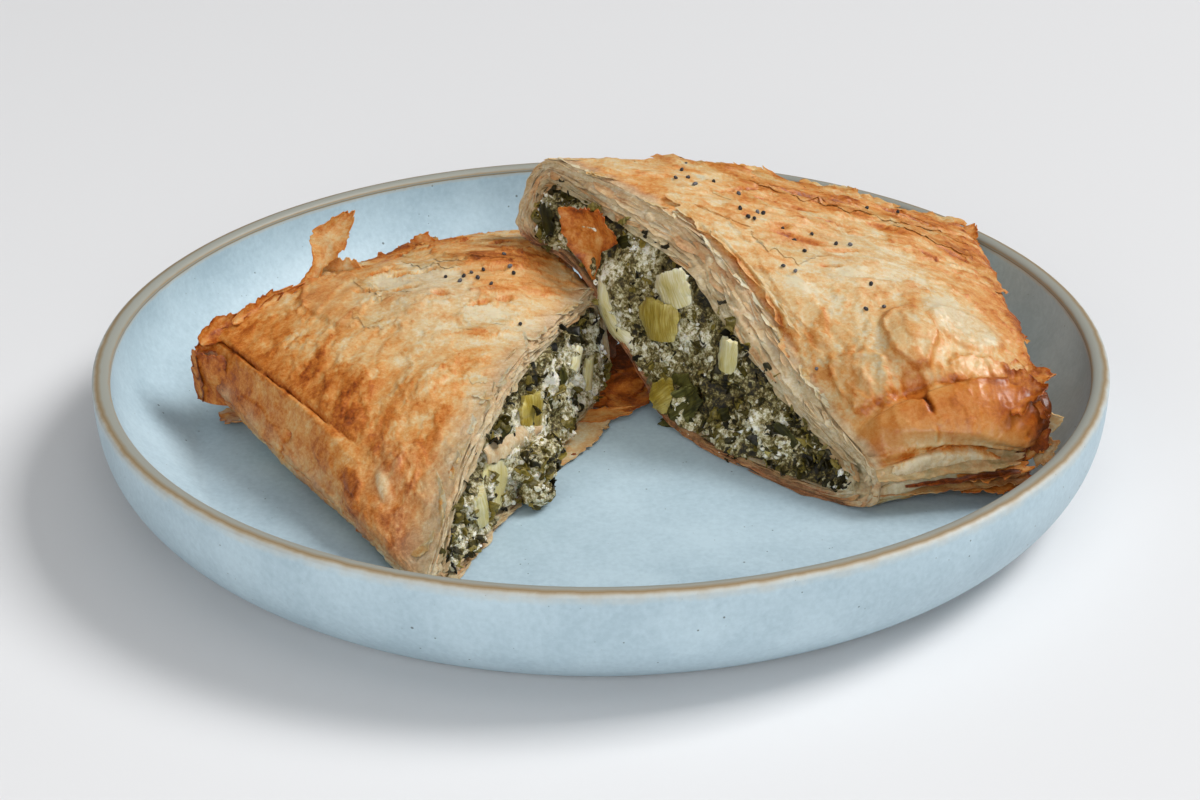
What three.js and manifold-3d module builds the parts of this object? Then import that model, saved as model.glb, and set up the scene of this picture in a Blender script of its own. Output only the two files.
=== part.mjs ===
// A rectangular spinach and feta pie in filo pastry, cut across in two and served on a stoneware plate.
// Millimetres, +Z up. The origin is the middle of the plate's foot, +X is the plate's right, +Y its back.
import * as THREE from 'three';
import { mergeVertices } from 'three/addons/utils/BufferGeometryUtils.js';
import Module from 'manifold-3d';

const wasm = await Module();
wasm.setup();

// ---------------------------------------------------------------- driving dimensions
const GAP = 0.35; // clearance between pieces that touch

const PLATE = {
  rimRadius: 130,
  height: 31.2,
  rimWidth: 4.5,
  footOuter: 113,
  footInner: 105,
  footDepth: 1.2,
  floorRadius: 106,
  floorHeight: 6,
  wallFlare: 3.3, // power of the outer wall's curve
  bowlFlare: 2.6, // power of the inner wall's curve
  segments: 64,
};

// Each half of the pie is a slab with four corners in plan. u runs along the cut from its front corner,
// v runs from the cut to the outer end, and w runs from the underside to the crown.
// Corners are in the order front of the cut, back of the cut, front of the end, back of the end.
const LEFT = {
  baseCorners: [[-38, -91], [3, 22], [-99, -1], [-24, 64]],
  crownCorners: [[-42, -88], [0, 24], [-109, 1], [-24, 69]],
  // The underside lies on the plate, and its outer front corner is lifted off it.
  lean: { corner: 6, endFront: 0, endBack: 0, climb: 0 },
  // Heights of the crown above the table: one row for each fifth of v, each from u = 0 to u = 1.
  crownHeights: [
    [9, 28, 36, 37, 35],
    [17, 32, 39, 41, 37],
    [24, 35, 42, 44, 40],
    [27, 37, 42, 42, 38],
    [29, 36, 38, 37, 34],
  ],
  sag: 0, // how far the middle of the cut bows out at the underside
  setback: 1.5, // how far the crust's cut edge is pulled back from the filling
  rounding: { front: 0.05, back: 0.07, end: 0.06, height: 0.3 },
  core: { front: 0.07, back: 0.97, end: 0.92, under: 2.2, over: 3.6 },
  cells: [21, 15, 3],
  blisters: [[0.3, 0.25, 9, 1.6], [0.22, 0.45, 8, 1.3], [0.12, 0.2, 7, 1.4], [0.45, 0.5, 12, 1.2]],
  crease: { from: [0.06, 0.97], to: [0.095, 0.4], depth: 0.9, width: 3 },
};
LEFT.intoCut = levelNormal(LEFT);

const RIGHT = {
  turnsLeft: true, // u, v and w run as the fingers of a left hand, so its triangles are turned over
  baseCorners: [[67, -52], [-24, 44], [108, -42], [104, 58]],
  crownCorners: [[69, -50], [-16, 43], [112, -42], [105, 61]],
  // The underside lies on the plate in front, climbs over the other half at the back of the cut, and
  // leans on the plate's wall at the outer end.
  lean: { corner: 0, endFront: 3, endBack: 10, climb: 35 },
  crownHeights: [
    [18, 31, 52, 62, 66],
    [25, 37, 50, 60, 63],
    [29, 41, 48, 54, 56],
    [30, 38, 44, 47, 47],
    [29, 33, 36, 38, 37],
  ],
  sag: 5,
  setback: 7,
  rounding: { front: 0.08, back: 0.07, end: 0.06, height: 0.35 },
  core: { front: 0.07, back: 0.95, end: 0.92, under: 2.6, over: 6 },
  cells: [21, 15, 3],
  blisters: [[0.22, 0.45, 9, 2.2], [0.32, 0.62, 8, 2.4], [0.5, 0.5, 14, 1.5], [0.7, 0.75, 9, 1.4]],
  crease: { from: [0.12, 0.05], to: [0.1, 0.95], depth: 1.2, width: 4 },
};
RIGHT.intoCut = levelNormal(RIGHT);

const WHOLE = { front: 0, back: 1, start: 0, end: 1, under: 0, over: 0 }; // limits of a whole half
const CORE_CELLS = [14, 5, 3]; // steps of the filling along u, v and w
const CUT_START = -0.004; // v of the cut filling, a little proud of the crust
const CUT_FACE = { length: 117, height: 30 }; // how long and how high the filling shows at a cut
const ROOT_DEPTH = 1.5; // how far a flake's root is sunk in the crust
const SEED_RADIUS = 0.6; // poppy seeds
// The loose brown flake on the right half's cut, with its drop below the crown, its distance proud of the
// cut, and the depth of the room that the filling leaves in front of it.
const CUT_FLAKE = {
  length: 19,
  width: 20,
  cup: 0.6,
  curl: -0.5,
  seed: 12,
  drop: 4,
  proud: 2.6,
  roomInFront: 9,
};
const FLAKE_THICKNESS = 0.8;

/** The level direction from a half's cut into it. */
function levelNormal({ baseCorners: [front, back, end] }) {
  const along = [back[0] - front[0], back[1] - front[1]];
  const length = Math.hypot(...along);
  const normal = [-along[1] / length, along[0] / length];
  const inward = normal[0] * (end[0] - front[0]) + normal[1] * (end[1] - front[1]) > 0;
  return inward ? normal : [-normal[0], -normal[1]];
}

// ---------------------------------------------------------------- small helpers
/** A seeded random number maker, from 0 to 1. */
function randomFrom(seed) {
  let state = seed;
  return () => {
    state = (state + 0x6d2b79f5) | 0;
    let t = Math.imul(state ^ (state >>> 15), 1 | state);
    t = (t + Math.imul(t ^ (t >>> 7), 61 | t)) ^ t;
    return ((t ^ (t >>> 14)) >>> 0) / 4294967296;
  };
}

/** Smooth rise from 0 at low to 1 at high. */
function smooth(low, high, x) {
  return THREE.MathUtils.smoothstep(x, low, high);
}

const lerp = THREE.MathUtils.lerp;
const clamp = THREE.MathUtils.clamp;

/** A smooth curve through values at equal steps of x from 0 to 1, carried on straight beyond its ends. */
function curveThrough(values, x) {
  const last = values.length - 1;
  const at = clamp(x, 0, 1) * last;
  const i = Math.min(Math.floor(at), last - 1);
  const t = at - i;
  const p = (k) => values[clamp(k, 0, last)];
  const slopeA = (p(i + 1) - p(i - 1)) / 2;
  const slopeB = (p(i + 2) - p(i)) / 2;
  const t2 = t * t;
  const t3 = t2 * t;
  return (2 * t3 - 3 * t2 + 1) * p(i) + (t3 - 2 * t2 + t) * slopeA
    + (3 * t2 - 2 * t3) * p(i + 1) + (t3 - t2) * slopeB;
}

/** A point as a vector. */
function vector([x, y, z]) {
  return new THREE.Vector3(x, y, z);
}

/** The place in plan of u, v between four corners. */
function between(corners, u, v) {
  return [0, 1].map((k) => lerp(
    lerp(corners[0][k], corners[1][k], u),
    lerp(corners[2][k], corners[3][k], u),
    v,
  ));
}

/** Merged, closed solid of a three.js geometry. */
function solidOf(geometry) {
  const bare = new THREE.BufferGeometry();
  bare.setAttribute('position', geometry.getAttribute('position'));
  bare.setIndex(geometry.getIndex());
  const merged = mergeVertices(bare, 1e-3);
  return new wasm.Manifold(new wasm.Mesh({
    numProp: 3,
    vertProperties: new Float32Array(merged.getAttribute('position').array),
    triVerts: new Uint32Array(merged.getIndex().array),
  }));
}

/** The outer body of a joined solid, without loose scraps and without hollows that joining has sealed. */
function largestBody(solid) {
  const bodies = solid.decompose();
  return bodies.reduce((largest, body) => (body.volume() > largest.volume() ? body : largest));
}

/** The mesh of a solid, as a named sub-part. */
function partOf(name, solid, material) {
  const mesh = solid.getMesh();
  const geometry = new THREE.BufferGeometry();
  geometry.setAttribute('position', new THREE.BufferAttribute(new Float32Array(mesh.vertProperties), 3));
  geometry.setIndex(new THREE.BufferAttribute(new Uint32Array(mesh.triVerts), 1));
  geometry.computeVertexNormals();
  const part = new THREE.Mesh(geometry, material);
  part.name = name;
  return part;
}

/** Moves every vertex of a geometry by a function of its place. */
function bend(geometry, move) {
  const position = geometry.getAttribute('position');
  const point = new THREE.Vector3();
  for (let i = 0; i < position.count; i += 1) {
    point.fromBufferAttribute(position, i);
    const moved = move(point);
    position.setXYZ(i, moved.x, moved.y, moved.z);
  }
  return geometry;
}

// ---------------------------------------------------------------- the plate
/** A plate with a foot ring, a flat floor and a steep flared wall, turned in one piece. */
function plateSolid() {
  const { rimRadius, height, rimWidth, footOuter, footInner, footDepth, floorRadius, floorHeight } = PLATE;
  const profile = [[0, footDepth], [footInner - 2, footDepth], [footInner, 0], [footOuter, 0]];
  for (const rise of [0.1, 0.28, 0.6]) {
    profile.push([rimRadius - (rimRadius - footOuter) * (1 - rise) ** PLATE.wallFlare, rise * height]);
  }
  profile.push([rimRadius, height - 1.2], [rimRadius - 0.8, height - 0.2]);
  profile.push([rimRadius - rimWidth / 2, height], [rimRadius - rimWidth + 0.8, height - 0.2]);
  const bowlRadius = rimRadius - rimWidth;
  for (const rise of [0.85, 0.5, 0.22, 0.07, 0]) {
    const inward = (bowlRadius - floorRadius) * (1 - rise) ** PLATE.bowlFlare;
    profile.push([bowlRadius - inward, floorHeight + rise * (height - floorHeight)]);
  }
  profile.push([0, floorHeight]);
  const points = profile.map(([r, z]) => new THREE.Vector2(r, z));
  const turned = new THREE.LatheGeometry(points, PLATE.segments);
  turned.rotateX(Math.PI / 2);
  return solidOf(turned);
}

// ---------------------------------------------------------------- the slab form of a half
/** Height of the underside at u, v: raised at a corner and at the outer end, and climbing along the cut. */
function baseHeight({ lean }, u, v) {
  const corner = lean.corner * smooth(0.65, 1, v) * (1 - smooth(0, 0.3, u));
  const end = v * lerp(lean.endFront, lean.endBack, u);
  const climb = lean.climb * smooth(0.48, 0.86, u) * (1 - v);
  return PLATE.floorHeight + GAP + corner + end + climb;
}

/** Height of the crown at u, v. */
function crownHeight(half, u, v) {
  return curveThrough(half.crownHeights.map((row) => curveThrough(row, u)), v);
}

/** How far the blisters and the fold crease lift the crown at u, v. */
function relief(half, u, v) {
  let z = 0;
  const [x, y] = between(half.crownCorners, u, v);
  for (const [blisterU, blisterV, radius, rise] of half.blisters) {
    const [bx, by] = between(half.crownCorners, blisterU, blisterV);
    z += rise * Math.exp(-((x - bx) ** 2 + (y - by) ** 2) / (radius * radius * 0.5));
  }
  return z - creaseDepth(half, x, y);
}

/** Depth of the straight fold crease at x, y: a groove along a line, fading at both ends. */
function creaseDepth(half, x, y) {
  const { from, to, depth, width } = half.crease;
  const [ax, ay] = between(half.crownCorners, ...from);
  const [bx, by] = between(half.crownCorners, ...to);
  const length = Math.hypot(bx - ax, by - ay);
  const along = ((x - ax) * (bx - ax) + (y - ay) * (by - ay)) / length;
  const aside = ((x - ax) * (by - ay) - (y - ay) * (bx - ax)) / length;
  const fade = smooth(-3, 6, along) * smooth(-3, 10, length - along);
  return depth * fade * Math.exp(-(aside * aside) / (width * width * 0.5));
}

/** The point of a half at u, v, w. A plain one leaves out the crown's blisters and its pulled back edge. */
function slabPoint(half, u, v, w, plain = false) {
  const [bx, by] = between(half.baseCorners, u, v);
  const [cx, cy] = between(half.crownCorners, u, v);
  const crown = crownHeight(half, u, v) + (plain ? 0 : relief(half, u, v));
  const [ex, ey] = half.intoCut;
  const nearCut = Math.max(0, 1 - v / 0.25);
  const middle = Math.sin(Math.PI * clamp(u, 0, 1)) ** 2;
  const pulledBack = plain ? 0 : half.setback * middle * smooth(0.84, 1, w);
  const sagging = half.sag * Math.sin(Math.PI * clamp(u / 0.6, 0, 1)) * (1 - w) ** 2;
  const pull = nearCut * (pulledBack - sagging);
  return new THREE.Vector3(
    lerp(bx, cx, w) + pull * ex,
    lerp(by, cy, w) + pull * ey,
    lerp(baseHeight(half, u, v), crown, w),
  );
}

/** Rounds the edges of the unit box, except those of its cut face at v = 0. */
function roundEdges(point, { front, back, end, height }) {
  const nearest = new THREE.Vector3(
    clamp(point.x, front, 1 - back),
    Math.min(point.y, 1 - end),
    clamp(point.z, height, 1 - height),
  );
  const radii = new THREE.Vector3(point.x < 0.5 ? front : back, end, height);
  const away = point.clone().sub(nearest).divide(radii);
  const reach = away.length();
  if (reach > 1e-9) away.multiplyScalar(Math.max(...away.toArray().map(Math.abs)) / reach);
  return nearest.add(away.multiply(radii));
}

/**
 * A slab of a half with rounded edges, as a solid. Its limits are shares of u and v, and under and over,
 * the thickness of pastry left below and above it.
 */
function slab(half, limits, cells, plain = true, lift = () => 0) {
  const box = new THREE.BoxGeometry(1, 1, 1, ...cells);
  box.translate(0.5, 0.5, 0.5);
  bend(box, (corner) => {
    const p = roundEdges(corner, half.rounding);
    const u = lerp(limits.front, limits.back, p.x);
    const v = lerp(limits.start, limits.end, p.y);
    const thickness = crownHeight(half, u, v) - baseHeight(half, u, v);
    const w = lerp(limits.under / thickness, 1 - limits.over / thickness, p.z);
    const point = slabPoint(half, u, v, w, plain);
    point.addScaledVector(outOfCut(half), lift(corner, u, w));
    return point;
  });
  if (half.turnsLeft) box.getIndex().array.reverse();
  return solidOf(box);
}

/** The level direction that looks straight out of the cut. */
function outOfCut(half) {
  return new THREE.Vector3(-half.intoCut[0], -half.intoCut[1], 0);
}

// ---------------------------------------------------------------- the filling
/** Limits of the filling's core from a start at the cut, grown all round by a clearance. */
function coreLimits(half, clearance, start) {
  const { front, back, end, under, over } = half.core;
  const share = clearance / 100;
  return {
    front: front - share,
    back: back + share,
    start,
    end: end + share,
    under: under - clearance,
    over: over - clearance,
  };
}

/** A lump: a ball of few sides pressed and made uneven. */
function lump(place, size, detail, random) {
  const ball = new THREE.IcosahedronGeometry(1, detail);
  const turn = new THREE.Euler(random() * 3, random() * 3, random() * 3);
  const wave = [random() * 6, random() * 6, random() * 6];
  bend(ball, (p) => {
    const bump = 1 + 0.22 * Math.sin(3.1 * p.x + wave[0]) * Math.sin(2.7 * p.y + wave[1])
      + 0.14 * Math.sin(4.3 * p.z + wave[2]);
    return p.clone().applyEuler(turn).multiply(size).multiplyScalar(bump).add(place);
  });
  return solidOf(ball);
}

/** A chunk of leek: a short curved piece of the stalk, longer than wide. */
function leekChunk(place, size, turn, curl) {
  const slice = new THREE.BoxGeometry(size.x, size.y, size.z, 3, 1, 1);
  bend(slice, (p) => {
    const taper = 1 - 0.25 * Math.abs(p.x / size.x);
    const arch = curl * (p.x / size.x) ** 2;
    return new THREE.Vector3(p.x, p.y * taper, p.z * taper - arch).applyEuler(turn).add(place);
  });
  return solidOf(slice);
}

const FILLINGS = {
  left: {
    seed: 11,
    leeks: [[0.2, 0.45, 9, 6], [0.47, 0.42, 10, 6], [0.7, 0.55, 9, 5]], // u, w, length, width
    crumbs: 9,
    clumps: 7,
  },
  right: {
    seed: 23,
    leeks: [
      [0.66, 0.55, 13, 9],
      [0.62, 0.4, 11, 8],
      [0.78, 0.25, 16, 5],
      [0.48, 0.62, 13, 4],
      [0.57, 0.18, 9, 6],
    ],
    crumbs: 13,
    clumps: 8,
  },
};

/** The pieces that stand out of the cut face: leek chunks, feta crumbs and clumps of spinach. */
function cutFacePieces(half, recipe) {
  const random = randomFrom(recipe.seed);
  const out = outOfCut(half);
  const onFace = (u, w, proud) => slabPoint(half, u, 0, w, true).addScaledVector(out, proud);
  const pieces = recipe.leeks.map(([u, w, length, width]) => {
    const turn = new THREE.Euler(random() * 0.6, random() * 2 - 1, random() * 0.8);
    return leekChunk(onFace(u, w, 0.2), new THREE.Vector3(length, 3.5, width), turn, 2);
  });
  for (let i = 0; i < recipe.crumbs; i += 1) {
    const u = lerp(half.core.front + 0.04, half.core.back - 0.04, (i + random()) / recipe.crumbs);
    const w = lerp(0.2, 0.75, random());
    const r = 1.4 + 1.6 * random();
    pieces.push(lump(onFace(u, w, 0.6), new THREE.Vector3(r, r * 0.8, r), 0, random));
  }
  for (let i = 0; i < recipe.clumps; i += 1) {
    const u = lerp(half.core.front + 0.05, half.core.back - 0.05, (i + random()) / recipe.clumps);
    const w = lerp(0.25, 0.7, random());
    const r = 3.5 + 2.5 * random();
    pieces.push(lump(onFace(u, w, -0.8), new THREE.Vector3(r, r * 0.7, r), 1, random));
  }
  return wasm.Manifold.union(pieces);
}

// The lumps of filling that have rolled out of the left half's cut: u, distance out of the cut, height above
// the table, and radii.
const SPILLED_LUMPS = [
  [0.44, 3, 15, [7, 6.2, 5.8]],
  [0.41, 5.5, 10.5, [5.8, 5, 3.6]],
  [0.49, 4, 16.5, [5.8, 5, 5]],
];

/** The filling that has rolled out of a half's cut, down to the plate. */
function spilledFilling(half, reach) {
  const random = randomFrom(31);
  const out = outOfCut(half);
  const lumps = SPILLED_LUMPS.map(([u, proud, height, radii]) => {
    const place = slabPoint(half, u, 0, 0, true).addScaledVector(out, proud).setZ(height);
    return lump(place, vector(radii), 1, random);
  });
  return wasm.Manifold.union(lumps).subtract(reach);
}

/** How far the filling stands proud of the cut at x, z millimetres: crumbly waves of a few sizes. */
function unevenness(x, z, seed) {
  return 0.4 + 0.5 * Math.sin(0.9 * x + seed) * Math.sin(1.1 * z + 0.3 * x)
    + 0.4 * Math.sin(2.3 * x - 1.7 * z + 2 * seed);
}

/** The whole filling of a half. */
function fillingSolid(half, recipe, extra) {
  const roughness = (corner, u, w) => {
    if (corner.y > 0) return 0;
    return unevenness(u * CUT_FACE.length, w * CUT_FACE.height, recipe.seed);
  };
  const core = slab(half, coreLimits(half, 0, CUT_START), CORE_CELLS, true, roughness);
  const inFrontOfCut = { ...coreLimits(half, 0, -0.12), end: 0.1 };
  const corridor = slab(half, inFrontOfCut, [CORE_CELLS[0], 3, CORE_CELLS[2]]);
  let filling = core.add(cutFacePieces(half, recipe).intersect(corridor));
  if (extra) filling = filling.add(extra);
  return largestBody(filling);
}

// ---------------------------------------------------------------- flakes of filo
/**
 * A thin wavy sheet with a ragged tip, from its root at the origin along +X and cupped about that axis. A
 * waist is the share of its width that it loses a third of the way along.
 */
function flakeSheet({ length, width, thick = FLAKE_THICKNESS, cup, curl, waist = 0, seed, steps = 5 }) {
  const random = randomFrom(seed);
  const ragged = Array.from({ length: steps + 1 }, () => 0.75 + 0.5 * random());
  const sway = (random() - 0.5) * width * 0.4;
  const sheet = new THREE.BoxGeometry(length, width, thick, steps, 2, 1);
  return bend(sheet, (p) => {
    const along = p.x / length + 0.5;
    const across = p.y / width;
    const narrowed = 1 - waist * Math.exp(-(((along - 0.33) / 0.2) ** 2));
    const spread = ragged[Math.round(along * steps)] * (1 - 0.72 * along ** 2) * narrowed;
    return new THREE.Vector3(
      along * length,
      across * width * spread + sway * along * along,
      p.z + cup * across * across * 4 + curl * along * along,
    );
  });
}

/** A flake rooted at a place, running the way of along, with its upper side towards face. */
function flake(place, along, face, shape) {
  const length = vector(along).normalize();
  const up = vector(face).projectOnPlane(length).normalize();
  const sheet = flakeSheet(shape);
  sheet.applyMatrix4(new THREE.Matrix4().makeBasis(length, up.clone().cross(length), up));
  sheet.translate(place.x, place.y, place.z);
  return solidOf(sheet);
}

// Flakes that stand up from a crust: u, v of the root on the crown, the way it runs, the way its upper side
// faces, then the sheet.
const FLAKES = {
  left: [
    [
      [0.31, 0.93], [0.5, 0, 0.85], [-0.3, -1, 0.2],
      { length: 29, width: 11, cup: 1, curl: 4, waist: 0.5, seed: 2, steps: 6 },
    ],
    [[0.38, 0.86], [0.3, 0.3, 0.55], [-0.2, -1, 0.6], { length: 13, width: 17, cup: 1, curl: 2, seed: 3 }],
    [[0.13, 0.96], [-0.5, 0.6, 0.05], [0.4, -0.4, 1], { length: 7, width: 20, cup: 1.2, curl: 1, seed: 4 }],
    [[0.62, 0.86], [0.3, 0.6, 0.35], [-0.1, -0.5, 1], { length: 11, width: 15, cup: 1, curl: 1, seed: 5 }],
    [[0.72, 0.62], [-0.4, -0.8, 0.12], [0, 0, 1], { length: 13, width: 16, cup: 0.6, curl: 0.6, seed: 6 }],
  ],
  right: [
    [[0.88, 0.3], [0.2, 0.9, -0.05], [0, -0.2, 1], { length: 12, width: 24, cup: 1, curl: 0.6, seed: 7 }],
    [[0.88, 0.55], [0.2, 0.7, 0.12], [0, -0.5, 1], { length: 11, width: 16, cup: 1, curl: 1.5, seed: 8 }],
    [[0.86, 0.76], [0.7, 0.3, 0.1], [0, -0.4, 1], { length: 13, width: 13, cup: 1, curl: 1, seed: 9 }],
    [[0.6, 0.36], [-0.6, -0.6, 0.12], [0, -0.1, 1], { length: 14, width: 16, cup: 1, curl: 0.6, seed: 10 }],
    [[0.06, 0.92], [0.9, -0.5, 0], [0, -0.4, 1], { length: 6, width: 10, cup: 1.2, curl: 0.6, seed: 11 }],
  ],
};

/** The flakes of a crust, with their roots sunk in it. */
function crustFlakes(half, list) {
  return list.map(([[u, v], along, face, shape]) => {
    const root = slabPoint(half, u, v, 1);
    root.z -= ROOT_DEPTH;
    return flake(root, along, face, shape);
  });
}

// ---------------------------------------------------------------- poppy seeds
const SEED_PATCHES = {
  left: { seed: 41, count: 10, middle: [0.69, 0.5], spread: [0.08, 0.14] },
  right: { seed: 43, count: 26, middle: [0.72, 0.34], spread: [0.26, 0.3] },
};

/** Poppy seeds strewn over a patch of the crown, sunk a little into it. */
function poppySeeds(half, patch) {
  const random = randomFrom(patch.seed);
  const seeds = [];
  for (let i = 0; i < patch.count; i += 1) {
    const u = clamp(patch.middle[0] + patch.spread[0] * (random() + random() - 1), 0.1, 0.93);
    const v = clamp(patch.middle[1] + patch.spread[1] * (random() + random() - 1), 0.03, 0.9);
    const place = slabPoint(half, u, v, 1);
    const ball = new THREE.IcosahedronGeometry(SEED_RADIUS, 0);
    ball.translate(place.x, place.y, place.z + SEED_RADIUS * 0.35);
    seeds.push(solidOf(ball));
  }
  return seeds;
}

/** The crust of a half: the whole slab with the filling's room cut out, its flakes and its seeds. */
function crustSolid(half, flakes, seeds) {
  const whole = slab(half, WHOLE, half.cells, false);
  const room = slab(half, coreLimits(half, 1.5 * GAP, -0.06), CORE_CELLS);
  const trimmings = wasm.Manifold.union([...crustFlakes(half, flakes), ...poppySeeds(half, seeds)]);
  return largestBody(whole.add(trimmings).subtract(room));
}

// ---------------------------------------------------------------- loose flakes
/**
 * The brown flake that leans on the filling at the back of the right half's cut, its point hanging down.
 * A depth in front of it and a clearance round it give the room that it needs.
 */
function cutFlake(inFront = 0, clearance = 0) {
  const top = slabPoint(RIGHT, 0.8, 0, 1, true);
  const down = slabPoint(RIGHT, 0.8, 0, 0, true).sub(top).normalize();
  const along = slabPoint(RIGHT, 0.9, 0, 0.5, true).sub(slabPoint(RIGHT, 0.7, 0, 0.5, true));
  const side = along.projectOnPlane(down).normalize();
  const out = down.clone().cross(side);
  if (out.dot(outOfCut(RIGHT)) < 0) {
    out.negate();
    side.negate();
  }
  const { length, width } = CUT_FLAKE;
  const sheet = flakeSheet({
    ...CUT_FLAKE,
    length: length + clearance,
    width: width + 2 * clearance,
    thick: FLAKE_THICKNESS + 2 * clearance + inFront,
  });
  sheet.applyMatrix4(new THREE.Matrix4().makeBasis(down, side, out));
  const place = top.addScaledVector(down, CUT_FLAKE.drop);
  place.addScaledVector(out, CUT_FLAKE.proud + inFront / 2);
  sheet.translate(place.x, place.y, place.z);
  return solidOf(sheet);
}

// Flakes that lie on the plate: root, the way it runs, the way its upper side faces, then the sheet.
const LOOSE_FLAKES = {
  plate_flake_pale: [
    [-9.6, -26, 7], [0.341, 0.94, 0], [0, 0, 1],
    { length: 30, width: 7, cup: 0.2, curl: 0.3, seed: 14 },
  ],
  plate_flake_brown: [
    [8, 4, 7.1], [0.36, 1, 0.04], [0, 0, 1],
    { length: 19, width: 12, cup: 0.4, curl: 0.4, seed: 15 },
  ],
  corner_flake: [
    [-101, 6, 7], [0.8, -0.6, 0], [0, 0, 1],
    { length: 12, width: 9, cup: 0.2, curl: 0.6, seed: 16 },
  ],
};

// ---------------------------------------------------------------- materials and assembly
const stoneware = new THREE.MeshStandardMaterial({ color: '#b0c2cc', roughness: 0.35, metalness: 0 });
const bakedFilo = new THREE.MeshStandardMaterial({ color: '#c98f55', roughness: 0.5, metalness: 0 });
const palerFilo = new THREE.MeshStandardMaterial({ color: '#d9b57c', roughness: 0.45, metalness: 0 });
const darkerFilo = new THREE.MeshStandardMaterial({ color: '#a5602c', roughness: 0.45, metalness: 0 });
const spinachFeta = new THREE.MeshStandardMaterial({ color: '#6b6b4c', roughness: 0.55, metalness: 0 });

/** The plate with both halves of the pie and the loose flakes on it. */
function buildPie() {
  const pie = new THREE.Group();
  pie.add(partOf('plate', plateSolid(), stoneware));
  const spilled = spilledFilling(LEFT, slab(LEFT, { ...WHOLE, start: CUT_START }, LEFT.cells));
  pie.add(partOf('left_crust', crustSolid(LEFT, FLAKES.left, SEED_PATCHES.left), bakedFilo));
  pie.add(partOf('left_filling', fillingSolid(LEFT, FILLINGS.left, spilled), spinachFeta));
  pie.add(partOf('right_crust', crustSolid(RIGHT, FLAKES.right, SEED_PATCHES.right), bakedFilo));
  const flakeRoom = cutFlake(CUT_FLAKE.roomInFront, 1.2 * GAP);
  const rightFilling = largestBody(fillingSolid(RIGHT, FILLINGS.right).subtract(flakeRoom));
  pie.add(partOf('right_filling', rightFilling, spinachFeta));
  pie.add(partOf('cut_flake', cutFlake(), darkerFilo));
  for (const [name, [place, ...pose]] of Object.entries(LOOSE_FLAKES)) {
    const material = name === 'plate_flake_brown' ? darkerFilo : palerFilo;
    pie.add(partOf(name, flake(vector(place), ...pose), material));
  }
  return pie;
}

export default buildPie();
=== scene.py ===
"""The looks of a spinach and feta pie in filo pastry, cut across in two, on a stoneware plate.

Lengths are millimetres until a mesh is made. The frame's origin is the middle of the plate's foot, +X is the
plate's right, +Y its back and +Z up.
"""

import logging
import math
from dataclasses import astuple, dataclass, field
from enum import Enum
from functools import partial
from itertools import product
from typing import Callable

import bpy
import numpy as np
from bpy.types import Material, NodeSocket, NodeTree
from mathutils import Matrix, Vector
from numpy.random import Generator, default_rng


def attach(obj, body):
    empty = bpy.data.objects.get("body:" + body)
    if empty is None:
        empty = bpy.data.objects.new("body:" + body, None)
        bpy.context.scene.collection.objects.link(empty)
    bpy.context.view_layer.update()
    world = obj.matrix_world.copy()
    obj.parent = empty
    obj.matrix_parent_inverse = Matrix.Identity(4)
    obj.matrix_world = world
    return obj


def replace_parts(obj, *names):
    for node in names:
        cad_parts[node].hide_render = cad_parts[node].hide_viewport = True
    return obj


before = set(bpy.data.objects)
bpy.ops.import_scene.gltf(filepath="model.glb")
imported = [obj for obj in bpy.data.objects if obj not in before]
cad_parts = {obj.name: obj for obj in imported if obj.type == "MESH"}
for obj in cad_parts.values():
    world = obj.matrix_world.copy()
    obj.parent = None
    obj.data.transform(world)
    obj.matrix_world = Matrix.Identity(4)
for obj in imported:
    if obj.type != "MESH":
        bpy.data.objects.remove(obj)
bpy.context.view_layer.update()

MM = 0.001  # metres in a millimetre
SHARP = math.radians(65)  # faces that meet at more than this keep a crisp edge between them
LOG = logging.getLogger("pie")
Array = np.ndarray
Pair = tuple[float, float]
Triple = tuple[float, float, float]
Cells = tuple[int, int, int]


# --- numbers
def lerp(a: Array, b: Array, t: Array) -> Array:
    """The value a share t of the way from a to b."""
    return a + (b - a) * t


def smooth(low: float, high: float, x: Array) -> Array:
    """Smooth rise from 0 at low to 1 at high: 3t^2 - 2t^3 of the share t."""
    t = np.clip((x - low) / (high - low), 0, 1)
    return t * t * (3 - 2 * t)


def bell(distance: Array, width: float) -> Array:
    """A bell curve of a distance: 1 at none, and e^-2 at one width."""
    return np.exp(-2 * (distance / width) ** 2)


def stacked(*parts: Array) -> Array:
    """Rows of numbers from one array or number for each column."""
    return np.stack(np.broadcast_arrays(*parts), -1)


def turned(x: Array, y: Array, heading: float) -> tuple[Array, Array]:
    """Coordinates along a heading in degrees, and across it."""
    angle = math.radians(heading)
    return x * math.cos(angle) + y * math.sin(angle), y * math.cos(angle) - x * math.sin(angle)


def leaf_grid(along: int, across: int) -> tuple[Array, Array]:
    """A leaf's s from 0 to 1 along it and t from -1 to 1 across, in so many steps."""
    return np.meshgrid(np.linspace(0, 1, along + 1), np.linspace(-1, 1, across + 1), indexing="ij")


def unit(vectors: Array) -> Array:
    """The vectors at length 1."""
    return vectors / np.maximum(np.linalg.norm(vectors, axis=-1, keepdims=True), 1e-9)


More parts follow.
